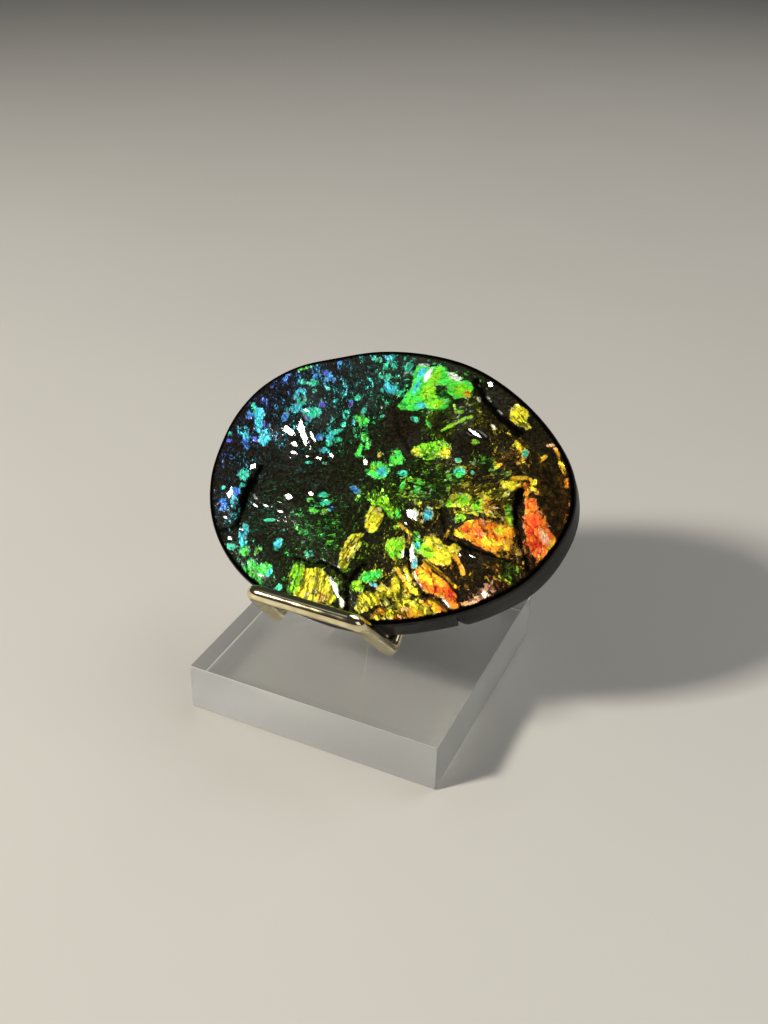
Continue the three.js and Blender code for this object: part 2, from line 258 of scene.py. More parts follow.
def relief(x, y):
    """Height of the polished face over its plane."""
    height = LONG_WAVE * np.sin(0.31 * x + 0.8) * np.cos(0.27 * y - 0.4)
    height = height + SHORT_WAVE * np.sin(0.62 * x - 0.45 * y + 1.3)
    for cx, cy, rx, ry, turn, rise in SWELLINGS:
        height += rise * np.exp(-oval_reach(x, y, cx, cy, rx, ry, turn)**2)
    for route, width, depth, _ in CREVICES:
        away = line_distance(x, y, route) + 0.2 * width * lumps(x, y, 1.6, 12)
        height -= depth * np.exp(-(away / width)**2)
    return height


FLASH_TIP = np.array([0.113, 0.202])  # slope of a flat in the middle of the stone
FLASH_TURN = np.array([0.0029, 0.0035])  # and how much it grows with each millimetre to the right or up
FLAT_LEVEL, FLAT_GONE = 0.7, 1.9  # a flat is level to here and blends in by there, in radii of its oval


def polish_flats(x, y, height):
    """Levels each listed spot into a small flat with the right tip."""
    for oval in FLATS:
        cx, cy = oval[:2]
        tip = FLASH_TIP + FLASH_TURN * (cx, cy)
        reach = oval_reach(x, y, *oval)
        middle = np.average(height, weights=np.exp(-4 * reach**2))
        flat = middle + tip[0] * (x - cx) + tip[1] * (y - cy)
        height = height + (1 - ease(reach, FLAT_LEVEL, FLAT_GONE)) * (flat - height)
    return height


print(len(SWELLINGS), "swellings,", len(CREVICES), "crevices and", len(FLATS), "flats")

# %% [markdown]
# ## Plates of shell
# Where the shell broke into plates, a plate has its own clear edge and colour, and stands a little
# proud of its neighbours. Each plate is a shape with corners, a colour and a lift. The colours are
# given as web colours, as a person would pick them, and turned into the linear light values that
# Blender's shaders work in.

# %% Colours of the shell
HUES = {
    "violet": "#5048c0", "blue": "#4080d8", "cyan": "#48c8dc", "teal": "#38cca4", "green": "#48e044",
    "lime": "#8ade28", "yellow": "#eee638", "gold": "#e4ac28", "orange": "#f48e26", "red": "#ea6426",
    # The pale grey-green is the colour of painted highlights.
    "moss": "#549a1c", "olive": "#6c7c10", "umber": "#7a5212", "amber": "#76581a", "painted_glint": "#dfe6e2",
    "peach": "#eeb48a",
}


def linear(web):
    """A web colour as linear red, green, blue."""
    shares = np.array([int(web[i:i + 2], 16) / 255 for i in (1, 3, 5)])
    return np.where(shares < 0.04045, shares / 12.92, ((shares + 0.055) / 1.055)**2.4)


SHELL = {name: linear(web) for name, web in HUES.items()}
print(len(SHELL), "shell colours")

# %% Plates of shell
PLATES = [  # colour, how solid, lift in mm, corners
    ("green", 1, 0.2, [
        (-2.2, 23.6), (0, 24), (3, 24.4), (4.6, 23.4), (6.8, 22.4), (8.6, 22.8), (9.9, 21.6), (9.8, 19.8),
        (7.4, 18.5), (6, 19.4), (4.8, 20.6), (3.2, 20.4), (3.4, 18.6), (5.2, 17.6), (5, 16.2),
        (2.2, 15.8), (0.8, 15), (-2, 14.4), (-2.8, 15), (-1.4, 19.4),
    ]),
    ("lime", 0.75, 0.2, [
        (2.6, 7.8), (4, 6.2), (6.6, 6), (8, 6.6), (10, 7.4), (10.2, 8.6), (9.8, 9.8), (8, 10.2), (6, 9.6),
        (4.4, 8.9),
    ]),
    ("yellow", 0.95, 0.2, [
        (17.4, 19.6), (18.6, 20.2), (20.6, 19.8), (21.6, 18.6), (21.4, 17.6), (22.8, 16.4), (22.2, 15.6),
        (19.8, 16.4), (18.4, 17.2),
    ]),
    ("red", 1, 0.35, [
        (26.2, 3.2), (27.4, 3.6), (28.4, 1.9), (29.6, 0.4), (31.2, -1.2), (32.6, -2.4), (33.2, -3.6),
        (33, -5.4), (32.4, -7), (32.2, -8.4), (31.4, -8.3), (30.6, -6.6), (29.2, -5.2), (28.2, -4.2),
        (27.2, -2.2), (26.4, 0.6),
    ]),
    ("orange", 0.95, 0.3, [
        (17, -3.4), (18.6, -2.4), (20.6, -2.2), (22.6, -2.4), (25.4, -2.4), (26.2, -3.4), (25.4, -4.4),
        (24.2, -4.8), (24, -6.2), (23.8, -7.8), (22, -7.6), (19.6, -7), (15.8, -6.4), (15.4, -5.2),
        (16.4, -4.4),
    ]),
    ("yellow", 0.84, 0.25, [
        (10.4, -8), (12, -7.3), (13.6, -8), (15.4, -8.8), (16.4, -7.8), (17.4, -8.2), (17.6, -9.6),
        (16.4, -10.4), (16.8, -11.6), (15.6, -12.2), (14, -12.4), (12.6, -11.8), (10.6, -9.8),
    ]),
    ("orange", 1, 0.35, [
        (12.2, -12.6), (14.4, -13.8), (16.6, -14.6), (18.6, -15.4), (19.8, -17), (20.6, -18.2), (20, -19),
        (18, -17.9), (15.6, -17.6), (13.4, -17), (11.6, -15.6), (11.2, -14.4),
    ]),
    ("yellow", 1, 0.25, [
        (-11, -19.4), (-9.6, -19), (-8.2, -19.2), (-7, -18.9), (-6, -18.2), (-4.4, -19), (-3, -20),
        (-1.8, -21.4), (-1.2, -23), (-1.6, -24.4), (-5, -24.9), (-8.5, -24.8), (-10, -23.6),
        (-10.8, -21.8),
    ]),
    ("yellow", 0.64, 0.2, [
        (-1, -5), (0.8, -4.6), (2.2, -6), (2.4, -7.6), (1.6, -9.4), (0, -9.8), (-1.2, -8.2),
    ]),
    ("yellow", 0.7, 0.2, [
        (-2, -10.4), (-0.2, -10.2), (0, -12.4), (-0.4, -14.6), (-1.2, -17), (-2.4, -17.4), (-3.4, -15.4),
        (-3.2, -12.6),
    ]),
    ("green", 0.9, 0.2, [
        (1.8, -18.6), (2.4, -17), (4, -16.4), (5.2, -15.6), (5.8, -16.8), (5, -18), (3.4, -18.8),
    ]),
    ("yellow", 0.95, 0.2, [
        (2.8, -21.6), (4, -20.2), (6.2, -20.6), (6.6, -22), (5.8, -23.2), (4.2, -24.6), (3, -23.6),
    ]),
    ("lime", 0.75, 0.2, [
        (4.2, -10.6), (5.6, -9.2), (7.2, -9.4), (8.2, -11.4), (8, -13.4), (6.6, -12.8), (4.6, -12),
    ]),
]
print(len(PLATES), "plates with clear edges")

# %% [markdown]
# ## Fields of crackle
# Between the plates the shell is thin and crackled, and the dark rock shows through. A field says
# over which area that happens: its colour, what share of the crackle is lit, and how much the rock
# glows with the colour of shell that lies deeper. A share below nothing keeps nearly all of it dark.
# None as a colour keeps the play of colour that runs over the whole stone, blue at the left through
# green to orange at the right.

# %% Fields of crackle
FIELDS = [  # colour, lit share, glow, corners
    (None, 0.12, 0.08, [
        (-33, 10), (-26, 17.5), (-14, 23), (-3, 25.5), (-3, 15), (-12, 3), (-24, 1), (-33, 1),
    ]),
    ("teal", 0.36, 0.1, [(-10.5, 25.2), (-3, 25.8), (-2.6, 17), (-9, 17)]),
    ("umber", -0.3, 0.1, [(-4.5, 14.4), (1, 14.5), (4, 10), (2, 7), (-3.5, 8)]),
    ("olive", 0.2, 0.6, [(3, 15.5), (5.5, 19), (12, 19.5), (14, 15), (9.5, 11), (4, 11.5)]),
    ("green", 0.45, 0.4, [(1, 15), (6, 15.6), (7, 18), (6.4, 21.6), (2, 22)]),
    ("umber", -0.3, 0.04, [(10, 8), (10.5, 12), (13, 14.2), (16.4, 13), (16, 9), (13.4, 7)]),
    ("moss", 0.38, 0.25, [(4, 5.6), (14, 6), (14, -1.5), (5, -1.8)]),
    ("moss", 0.42, 0.25, [(14, 9.3), (20, 9.3), (23, 7), (22, 5.6), (14, 6.2)]),
    ("yellow", 0.56, 0.32, [(12.4, 2.5), (20, 4), (24, 7), (25, -1.6), (18, -1.8), (12, -1.8)]),
    ("gold", 0.2, 0.32, [(19, 8), (20, 11), (22.6, 13), (24, 10), (23.6, 8)]),
    ("amber", -0.8, 0.7, [(25.8, 10.5), (29, 11), (31.5, 7), (33.4, 1), (32.6, -2), (29, 2.8), (27, 5)]),
    ("yellow", 0.75, 0.5, [
        (7, -13.6), (11, -15.6), (14, -18), (20.6, -19.6), (14, -23.4), (9, -25), (5, -20), (7.6, -18),
    ]),
    (None, 0, 0.05, [(19, -9.6), (26, -8.8), (27, -11.6), (22.6, -14), (20.4, -14.6), (19.4, -12)]),
    ("lime", 0.34, 0.15, [(25, -8.4), (29.6, -8.8), (28, -12.6), (26, -12)]),
    ("peach", 0.5, 0.15, [(21, -15.4), (25.6, -12.6), (26.6, -14), (23, -18.4), (21, -18)]),
    (None, -0.1, 0.05, [(-24, -7), (-14, -7.6), (-12, -14.4), (-16, -18), (-23, -15)]),
    ("green", 0.15, 0.16, [(-14, -7.6), (-6, -7.8), (-4.4, -12), (-5, -17), (-13, -14.4)]),
    ("lime", 0.42, 0.18, [(-4, -1.4), (5, -1.6), (5.4, -7.6), (-1, -4.4), (-4, -4)]),
    (None, -0.14, 0.04, [(-24, 1), (-12, 3), (-6, 1), (-6, -4), (-14, -7.6), (-24, -7)]),
    (None, -0.32, 0.03, [
        (10.5, 25), (13, 18.6), (17, 16.4), (22, 14), (26, 11.4), (33, 8), (36, 2), (36, 10), (26, 22),
        (14, 28),
    ]),
    ("gold", 0.44, 0.25, [(24, -3), (28, -4.6), (29, -8), (24, -7.6)]),
]
print(len(FIELDS), "fields of crackle")

# %% [markdown]
# ## Single flakes of shell
# The rest of the colour is flakes a millimetre or two across: blue and cyan on the left, teal and
# green along the top, lime, gold and orange towards the right. They could be scattered at random,
# but a specimen is known by where its brightest flakes sit, so the main ones are listed under their
# colour, each as an oval with a ragged edge. The list is in painting order: later ones lie on top.

# %% Single flakes of shell
FLAKES = {  # colour: ovals as x, y, radii and, for those that are turned, degrees
    "blue": [
        (-31.2, 6.6, 0.9, 0.6, -60), (-29.9, 1.2, 1, 0.6, -60), (-29, 0.3, 0.7, 0.4, -60),
        (-23.5, 7.4, 0.9, 0.7, 90), (-21, 17.4, 0.5, 0.6), (-17.5, 17.5, 0.7, 0.6),
        (-26.8, 16.3, 0.5, 0.8), (-17.5, 21.3, 0.5, 0.4), (-16.4, 22.6, 0.5, 0.5), (-29, -12, 1.1, 1),
        (-27.4, -9, 0.7, 0.8), (-4.8, -2.8, 1, 0.5, -25), (-7.8, -7.2, 0.5, 0.5),
        (-15.4, 5.4, 0.6, 0.9, -50), (-19, 8.4, 0.6, 0.5),
    ],
    "violet": [
        (-27, 5.2, 0.9, 0.7, -60), (-28, 2.3, 0.8, 0.4, -30), (-12, 13.2, 0.8, 0.5, 90),
        (-17.2, 12, 0.9, 0.5), (-33, 0.7, 0.4, 0.3), (-19.2, 18.5, 0.5, 0.5), (-26.9, -9.8, 0.4, 0.5),
    ],
    "cyan": [
        (-30.8, 3.2, 1.4, 1, -20), (-29.2, 7.2, 1.5, 0.9, -55), (-28.3, 5, 1.3, 0.6, -60),
        (-26, 3, 1.6, 1, -60), (-22.7, 13, 1.4, 0.9, 80), (-22, 9.8, 1.1, 0.9), (-6, 18.2, 1.6, 0.9, -20),
        (-8, 24.3, 1.1, 0.7, -30), (-13.4, 6, 0.9, 0.5, 90), (-13.6, 3.1, 0.9, 0.5, 10),
        (-27.1, -10.6, 0.8, 0.8), (9.8, -4, 0.8, 1.2), (-15.5, -16.2, 0.7, 0.9),
        (-22.6, -16.4, 1.6, 0.8, -70), (10.5, -13, 0.5, 0.8, 20),
    ],
    "teal": [
        (-31, 8.4, 0.9, 0.5, -60), (-21.6, 11.8, 1, 0.8), (-17.8, 10, 1.2, 0.9), (-19.3, 9.8, 0.8, 0.7),
        (-5, 20.6, 0.6, 0.5), (-6.6, 20.5, 0.5, 0.4), (-14, 23.5, 0.8, 0.5, 20), (-10, 23.3, 0.9, 0.7),
        (-7, 23.2, 0.8, 0.5, -20), (-3.5, 23.4, 1.3, 0.7, 70), (-23, 15.8, 0.9, 0.6),
        (-20.8, 16, 0.9, 0.7), (-17.5, 15.5, 0.5, 0.4), (-11.2, 14.9, 0.6, 0.5),
        (-8.9, 12.4, 0.7, 0.4, 80), (-5, 12.3, 0.5, 0.3, 30), (-11.6, 9, 0.5, 0.4),
        (-12.3, 7.4, 0.8, 0.4, 30), (-11.8, 5.8, 0.7, 0.5, 20), (-13, 4.8, 0.6, 0.5),
        (-12.5, 0.8, 0.6, 0.4), (-15.4, 0.2, 0.9, 0.25, 15), (-33.6, 2.1, 0.5, 0.4),
        (-20, 14.4, 0.5, 0.5), (-27.4, -5.3, 1, 1), (-26.6, -7.2, 0.5, 0.3), (-30.3, -8.6, 0.5, 0.4),
        (-24, -19.2, 0.9, 0.6), (-10.3, -5.2, 0.9, 0.4, 15), (-9.4, -6.6, 0.9, 0.5),
        (-8.8, -16.3, 0.8, 0.7), (-15.4, -13.6, 0.4, 0.3), (12.8, 5.1, 0.9, 0.7), (11.8, 7.2, 0.6, 0.4),
        (15.2, 5.6, 0.4, 0.3), (23.2, 11.2, 0.5, 0.7), (-12, -24, 0.6, 0.6), (2.6, 2.5, 0.9, 0.7),
        (1.2, 13.2, 0.8, 0.4, -20), (-18.6, -12.3, 0.8, 0.25, 20),
    ],
    "green": [
        (-24.3, 18.6, 1.5, 0.6, 25), (-8.7, 10.6, 1.5, 0.8, -10), (-6.8, 7.4, 0.8, 0.6, -40),
        (-5.6, 6.3, 0.6, 0.7), (-7, 4.8, 0.5, 0.9), (-5.8, 3.6, 0.6, 0.5), (0.6, 5, 1.3, 1.2, -40),
        (-1.9, 2, 1.6, 1.3), (9.6, -9.2, 0.9, 1.9, 30), (-18, -22.6, 1.8, 1.2), (-16, -21.3, 1.5, 0.9),
        (-19, -20.8, 0.8, 0.7), (-16.4, -24, 0.9, 0.5, -20), (-21, -19.3, 0.9, 0.8),
        (-10.9, -8.7, 0.8, 0.5), (-6, -13.5, 0.7, 0.4, 25), (3.4, 0, 0.4, 0.9), (6.4, 0.6, 0.6, 0.8),
        (13, 4.6, 0.6, 0.4), (-9.9, -22, 0.9, 1.8), (4.6, -5, 0.4, 0.9, 20), (-12.5, -6.8, 0.6, 0.6),
    ],
    "lime": [
        (4.3, 17, 0.9, 0.8), (8, 20.6, 1.5, 1.1), (2.4, 22.6, 0.8, 1.4), (14.1, 11.1, 0.7, 0.5),
        (24, -0.3, 1.8, 0.6, -60), (15.2, 0.4, 1.1, 1), (18, 0, 1, 1.1), (15.6, -3.2, 1.1, 0.9),
        (12, -10.6, 1.6, 0.8, -20), (-18.6, -18.8, 0.6, 0.9), (2, -19.8, 1, 0.8), (-9, -8.2, 0.4, 0.5),
        (-3.1, 2.2, 0.5, 0.8), (13, -0.8, 0.5, 0.7), (6.2, -12, 1.4, 0.9, -30), (7.4, 9, 1.2, 0.6, 20),
        (-9.6, -21.6, 1, 2.4), (2.2, 19, 1.2, 2.2, 10),
    ],
    "yellow": [
        (3.6, 6.9, 0.9, 0.6), (9.3, 8, 0.8, 0.8), (21.6, 4.9, 1.2, 0.6), (26.4, 6.2, 0.5, 0.9),
        (19, 2.5, 0.8, 0.9), (21.7, -6, 1, 0.7), (23, -3.8, 0.7, 0.9), (16.7, -6, 0.8, 0.5),
        (7, -19.4, 1.1, 0.7, -30), (8.4, -24.3, 1.1, 0.6, -30), (13.2, -15, 1.1, 0.6, -30),
        (21.4, 12.4, 0.9, 0.5, -50),
    ],
    "gold": [
        (9.3, 20.2, 0.6, 0.5), (-2.8, 4.9, 0.4, 0.5), (28.3, 13.2, 1.1, 0.4, -50),
        (30.2, 10.4, 1.6, 0.4, -50), (20.6, 0.6, 1.6, 1.1), (22.8, 9.5, 0.9, 0.4, 60),
        (27.2, 4.8, 0.6, 0.4, -50), (25.2, -5.9, 0.9, 0.8), (14.4, -6.6, 0.4, 0.8), (7.6, -23, 1, 0.7),
        (13.4, -21.6, 2.1, 1), (15.6, -19, 1.5, 0.8), (32.6, -4, 0.5, 1.4), (31.7, -7.2, 0.4, 1.1),
        (-3.6, -23.6, 1.2, 0.7, 80), (26.5, 11, 0.3, 0.8, -20),
    ],
    "orange": [
        (31.6, 8, 1, 0.35, -70), (33.4, 4.2, 0.5, 0.3, 90), (33.5, 1.3, 0.7, 0.3, 90),
        (11.6, -23.2, 1.5, 0.6, 20), (18, -19.6, 1.3, 0.5, 20), (25.6, -3, 0.7, 0.4),
        (29.6, 1.1, 0.4, 1.4, 35),
    ],
    "red": [
        (18.5, -4.9, 1.5, 0.6), (22.4, -4.8, 0.9, 0.5), (18.4, -16.4, 1.6, 0.8, -35),
        (15.8, -16.6, 1, 0.5), (19.9, -5.6, 0.7, 0.4),
    ],
    "peach": [
        (31, -2.7, 1.2, 0.5, -45), (24.2, -14.2, 1.2, 0.8), (23.2, -16.6, 1.5, 0.5, 40),
        # The next peach flake is a painted highlight where the edge of the orange blade flashes.
        (18.4, -18.4, 1, 0.3, -25),
    ],
    # Painted highlights: these pale flakes sit on the polished flats and stand for the white glints of the
    # coat.
    "painted_glint": [
        (0.8, 22.2, 1.2, 0.4, 80), (-1, 24.2, 0.9, 0.3, 10), (5.8, 23, 1.3, 0.5, -20),
        (9.5, -11.2, 1.7, 0.35, -72), (-2.2, -20.7, 1.5, 0.35, -40), (0.2, -23.2, 0.8, 0.3, -60),
        (-23, -9, 0.8, 0.3, -30), (7.4, -4.4, 1, 0.6),
    ],
}
COLD_EDGES = [  # where a plate turns blue at its edge
    (-0.6, 22.6, 1.2, 0.7, 80), (-0.5, 19.4, 1.4, 0.5, 85), (1.4, 16, 1.1, 0.6), (-1.2, 1.9, 0.9, 0.9),
    (-9.9, 9.9, 0.6, 0.5), (-14.8, -21.6, 0.9, 0.4, 80), (10, -9.9, 0.4, 0.8, 40),
    (4.8, -18.7, 0.8, 0.35),
]
GLIMMERS = [  # thin bright lines: colour, half width, route
    ("lime", 0.22, [(7.2, 12), (8.6, 13.4), (10.4, 14.8)]), ("lime", 0.16, [(10.2, 15), (11.6, 15.8)]),
    ("green", 0.18, [(3.4, 13.4), (4.6, 12.4)]), ("lime", 0.15, [(7.6, 17.4), (8.4, 16.2), (9.6, 16.4)]),
    ("gold", 0.2, [(22.4, 6.1), (24.6, 6.9), (25.8, 6.6), (26.3, 4.6)]),
    ("gold", 0.18, [(12, -12.2), (15.6, -13.5), (19, -15.2)]),
    ("lime", 0.2, [(-0.8, -4.3), (1.4, -4.4), (3.2, -5.6)]),
    # The pale glimmers here are painted highlights: thin glints along the edges of the crevice at the upper
    # right.
    ("gold", 0.2, [(5.4, -6.9), (8, -8), (8.6, -9.6)]), ("painted_glint", 0.13, [(11.5, 19.9), (12, 19.4)]),
    ("painted_glint", 0.13, [(12.8, 20.5), (14, 19.7)]), ("painted_glint", 0.13, [(15.9, 18.2), (16.7, 17.7)]),
    ("painted_glint", 0.12, [(10.7, 22.4), (11.1, 22)]), ("painted_glint", 0.12, [(15.8, 15.1), (16.4, 14.6)]),
    ("gold", 0.2, [(16.9, -9.6), (18.4, -11.2), (19.6, -12.6)]),
    ("orange", 0.22, [(24.9, 5.6), (25.8, 3.8), (26, 2.4)]),
    ("gold", 0.15, [(8, -14.8), (10, -17), (11.6, -18.8)]),
    ("peach", 0.15, [(26.6, 13.8), (27.6, 14.2), (28.4, 13.6)]),
]
print(sum(len(ovals) for ovals in FLAKES.values()), "flakes and", len(GLIMMERS), "glimmers")

# %% [markdown]
# ## Mixing the play of colour
# Everything above is now laid over the face, in the order of a painter: first the play of colour of
# the whole stone, then the fields, the plates, the flakes and the thin lines. The result is kept as
# values on the mesh's points: the shell's colour with its lit share, then the glow, the shade, the
# streaks and the coat. The material reads them and adds the crackle, which is finer than any mesh.
# Crackle has a grain, as wood does: it runs one way in one part of the stone and another way in the
# next. So every point also gets its place along and across the grain of its own area.

# %% Mixing the play of colour
PLAY = [(-1.2, "violet"), (-0.9, "blue"), (-0.66, "cyan"), (-0.42, "teal"), (-0.15, "green"), (0.12, "lime"),
        (0.34, "yellow"), (0.62, "gold"), (0.84, "orange"), (1.05, "red")]


def play_of_colour(x, y):
    """The colour that runs over the whole stone, from blue on the left to orange on the right."""
    run = (x - 0.35 * y) / 35 + 0.12 * lumps(x, y, 5, 1)
    places = [place for place, _ in PLAY]
    return np.stack([np.interp(run, places, [SHELL[name][i] for _, name in PLAY]) for i in range(3)], 1)


GRAIN = [  # direction in degrees that the crackle runs in, how coarse it is, and where
    (15, 0.9, [(-24, 1), (-2, 1), (-3, -18), (-24, -16)]),
    (25, 0.95, [(2, 6), (10, 8), (24, 9), (25, -2), (2, -2)]),
    (35, 1.25, [(12, 3), (19, 4), (25, 8), (26, -2), (12, -2)]),
    (48, 1.2, [(2, 14), (6, 19.5), (12, 20), (13, 13), (6, 10.5)]),
    (30, 1.3, [(-3, 14), (-3, 26), (11, 26), (10, 18), (6, 16), (0, 14)]),
    (-35, 1.0, [(10, 26), (12, 16), (24, 12), (26, 4), (38, 2), (30, 20)]),
    (-80, 1.4, [(-12, -18), (0, -18), (0, -28), (-12, -28)]),
    (-35, 1.35, [(8, -7), (14, -8), (14, -1), (27, -1), (27, -20), (10, -27), (2, -27), (2, -19), (6, -18)]),
    (-52, 1.3, [(25, 4), (36, 3), (36, -12), (26, -6)]),
    (75, 1.3, [(-4, -4.4), (3, -4.4), (2, -17.6), (-4.6, -17.6)]),
]
OPEN_GRAIN = (-62, 0.85)  # everywhere else
SLIVER = (1.35, 0.8)  # how much the crackle is stretched along its direction and across it


def grain_place(x, y):
    """The place of each point as the crackle sees it: turned and stretched."""
    angle, coarse = (np.full(x.shape, float(value)) for value in OPEN_GRAIN)
    ragged = lumps(x, y, 2.2, 21)
    for turn, size, corners in GRAIN:
        here = plate_depth(x, y, corners) + 1.2 * ragged > 0
        angle[here] = turn
        coarse[here] = size
    angle = np.radians(angle)
    along = (x * np.cos(angle) + y * np.sin(angle)) / (SLIVER[0] * coarse)
    across = (y * np.cos(angle) - x * np.sin(angle)) / (SLIVER[1] * coarse)
    return np.column_stack([along, across, np.zeros(x.shape)])


STREAKED = [  # ovals with fine dark streaks along the grain
    (-6, -21.6, 5.6, 3.8), (-2, -14, 2, 3.6), (20, 18, 3, 2.4, -30), (5, -22, 2.6, 2.6),
]
BARE_LIT, BARE_GLOW = 0.02, 0.05  # where nothing is painted
PLATE_LIT, PLATE_GLOW = 1.25, 0.2  # a solid plate has all of its shards lit
FLAKE_LIT, COLD_LIT, GLIMMER_LIT = 0.89, 1.0, 1.1  # a flake keeps a few dark shards
DARK_BAND = (0.5, 0.85)  # in mm from the edge: where the dark band fades out,
CLEAR_COAT = (0.7, 1.2)  # where the clear coat comes in,
WORN_RIM = (0.3, 1.0)  # and where the colour does, which was worn off outside


def paint_face(x, y, from_edge):
    """For each point of the face: shell colour and lit share, then glow, shade, streaks and coat."""
    colour = play_of_colour(x, y)
    lit = BARE_LIT + 0.07 * lumps(x, y, 5, 2) + 0.07 * lumps(x, y, 2.2, 5)
    glow = np.full(x.shape, BARE_GLOW)
    ragged = 0.5 * lumps(x, y, 1.1, 3) + 0.3 * lumps(x, y, 0.6, 4)

    def lay(amount, hue, new_lit, new_glow=None):
        """Lays one coat of paint over what is there already."""
        nonlocal colour, lit, glow
        if hue is not None:
            colour = colour + (hue - colour) * amount[:, None]
        lit = lit + (new_lit - lit) * amount
        if new_glow is not None:
            glow = glow + (new_glow - glow) * amount

    for hue, new_lit, new_glow, corners in FIELDS:
        soft = ease(plate_depth(x, y, corners) + 1.4 * ragged, -1.2, 1.2)
        lay(soft, SHELL.get(hue), new_lit, new_glow)
    for hue, solid, _, corners in PLATES:
        crisp = ease(plate_depth(x, y, corners) + 0.35 * ragged, -0.3, 0.3)
        lay(crisp, SHELL[hue], PLATE_LIT * solid, PLATE_GLOW)
    for hue, ovals in FLAKES.items():
        for oval in ovals:
            reach = oval_reach(x, y, *oval) + 0.5 * ragged
            lay(1 - ease(reach, 0.7, 1.7), SHELL[hue], np.maximum(lit, FLAKE_LIT))
    for oval in COLD_EDGES:
        reach = oval_reach(x, y, *oval) + 0.5 * ragged
        lay(1 - ease(reach, 0.5, 1.4), SHELL["cyan"], np.maximum(lit, COLD_LIT))
    for hue, width, route in GLIMMERS:
        away = line_distance(x, y, route) + 0.12 * ragged
        lay(1 - ease(away, 0.1, width + 0.3), SHELL[hue], GLIMMER_LIT)
    middling = np.clip(4 * lit * (1 - lit), 0, 1)
    lit = lit + 0.3 * middling * (lumps(x, y, 2.4, 13) + 0.6 * lumps(x, y, 1.2, 14))
    shade = np.zeros(x.shape)
    # Painted shade: the bottoms of the crevices are darkened to near black, and a narrow band along the edge
    # of the face is darkened the same way.
    for route, width, _, dark in CREVICES:
        away = line_distance(x, y, route) + 0.5 * width * ragged
        shade = np.maximum(shade, dark * (1 - ease(away, width * 0.4, width * 1.5)))
    shade = np.maximum(shade, 1 - ease(from_edge, *DARK_BAND))
    coated = ease(from_edge, *CLEAR_COAT)
    rim = ease(from_edge + 0.3 * ragged, *WORN_RIM)
    lit = lit * rim - 0.4 * (1 - rim)
    streaked = np.zeros(x.shape)
    for oval in STREAKED:
        streaked = np.maximum(streaked, 1 - ease(oval_reach(x, y, *oval), 0.8, 1.2))
    return np.column_stack([colour, lit]), np.column_stack([glow * rim, shade, streaked, coated])


print(len(PLAY), "colours across the stone, and", len(GRAIN), "areas with a grain of their own")

# %% [markdown]
# ## Building the slab
# A square grid, pressed into a disc so that its squares become rings, covers the face evenly and has
# no pole in the middle. Its outer ring then goes down the ground side wall, one ring after another,
# and over the back. Working by rings keeps the mesh closed, and lets each ring have its own inset
# and depth: the narrow bevel in front, the wall, and the rounding at the sawn back.

# %% Building the slab
CELLS = 264  # squares along one side of the face's grid
THICKNESS = 7.0
BEVEL = 0.3  # inset and drop of the polished edge of the face
PLATE_LIFT = 0.12  # share of its listed lift that a plate stands proud
GRIT_HEIGHT = 0.006  # polishing never gets the face quite smooth
BACK_ROUND = 0.5
UNDERCUT = 1.5  # the wall is ground away towards the back, low on the right
FLARE = 0.3  # beside the undercut the wall swells out instead
RIM_PROFILE = [  # inset from the outline and depth under the face, from front to back
    (0.17, 0.45), (0.07, 0.68), (0.01, 1.0), (0, 1.6), (0, 2.4), (0, 3.2), (0, 4.0), (0, 4.8), (0, 5.5),
    (0, 6.1), (0.05, 6.5), (0.17, 6.75), (0.33, 6.93),
]
BACK_SHARES = [1.0, 0.8, 0.6, 0.4, 0.2]  # rings of the back, as shares of its radius


def undercut_share(angle):
    """How much of the undercut a direction gets: it ends in an old break on its right."""
    return ease(np.degrees(angle), -78, -64) - ease(np.degrees(angle), -47, -42)


def flare_share(angle):
    """How much of the flare a direction gets: from the old break round to the right."""
    return ease(np.degrees(angle), -47, -42) - ease(np.degrees(angle), -14, 4)


def face_points():
    """The grid of the face: place in millimetres and the ring share of each point."""
    a, b = np.meshgrid(np.linspace(-1, 1, CELLS + 1), np.linspace(-1, 1, CELLS + 1), indexing="ij")
    a, b = a.ravel(), b.ravel()
    ring = np.maximum(abs(a), abs(b))
    wide = abs(a) >= abs(b)
    beside = b / np.where(wide & (a != 0), a, 1)
    above = a / np.where(~wide & (b != 0), b, 1)
    turn = np.where(wide, beside, above) * math.pi / 4
    from_right = turn + np.where(a < 0, math.pi, 0)
    from_top = math.pi / 2 - turn + np.where(b < 0, math.pi, 0)
    angle = np.where(wide, from_right, from_top)
    edge = outline_radius(angle)
    radius = ring * (edge - BEVEL)
    x, y = radius * np.cos(angle), radius * np.sin(angle)
    return x, y, (1 - ring) * edge, angle


face_x, face_y, from_edge, face_angle = face_points()
height = relief(face_x, face_y)
for _, _, lift, corners in PLATES:
    height += PLATE_LIFT * lift * ease(plate_depth(face_x, face_y, corners), -0.3, 0.4)
height = polish_flats(face_x, face_y, height * ease(from_edge, 0, EDGE_FADE))
height += GRIT_HEIGHT * lumps(face_x, face_y, 1.1, 7)
face_z = height * ease(from_edge, 0, 0.6) - BEVEL * (1 - ease(from_edge, 0, 0.5))
print(face_x.size, "points on the face, from", face_z.min().round(2), "to", face_z.max().round(2), "mm high")


# %% The rings round the slab
def border_of_grid():
    """Indices of the grid's outer points, once round."""
    n = CELLS + 1
    first = [i * n for i in range(n)]
    second = [(n - 1) * n + j for j in range(1, n)]
    third = [i * n + n - 1 for i in range(n - 2, -1, -1)]
    fourth = list(range(n - 2, 0, -1))
    return np.array(first + second + third + fourth)


border = border_of_grid()
rim_angle = face_angle[border]
rim_edge = outline_radius(rim_angle)
wall_step = UNDERCUT * undercut_share(rim_angle) - FLARE * flare_share(rim_angle)
STEP_START, STEP_END = 0.4, 4.5  # depths between which the undercut and the flare come in


def ring_at(radius, depth):
    """One ring of points round the slab."""
    across, up = radius * np.cos(rim_angle), radius * np.sin(rim_angle)
    return np.column_stack([across, up, np.full(radius.shape, -depth)])


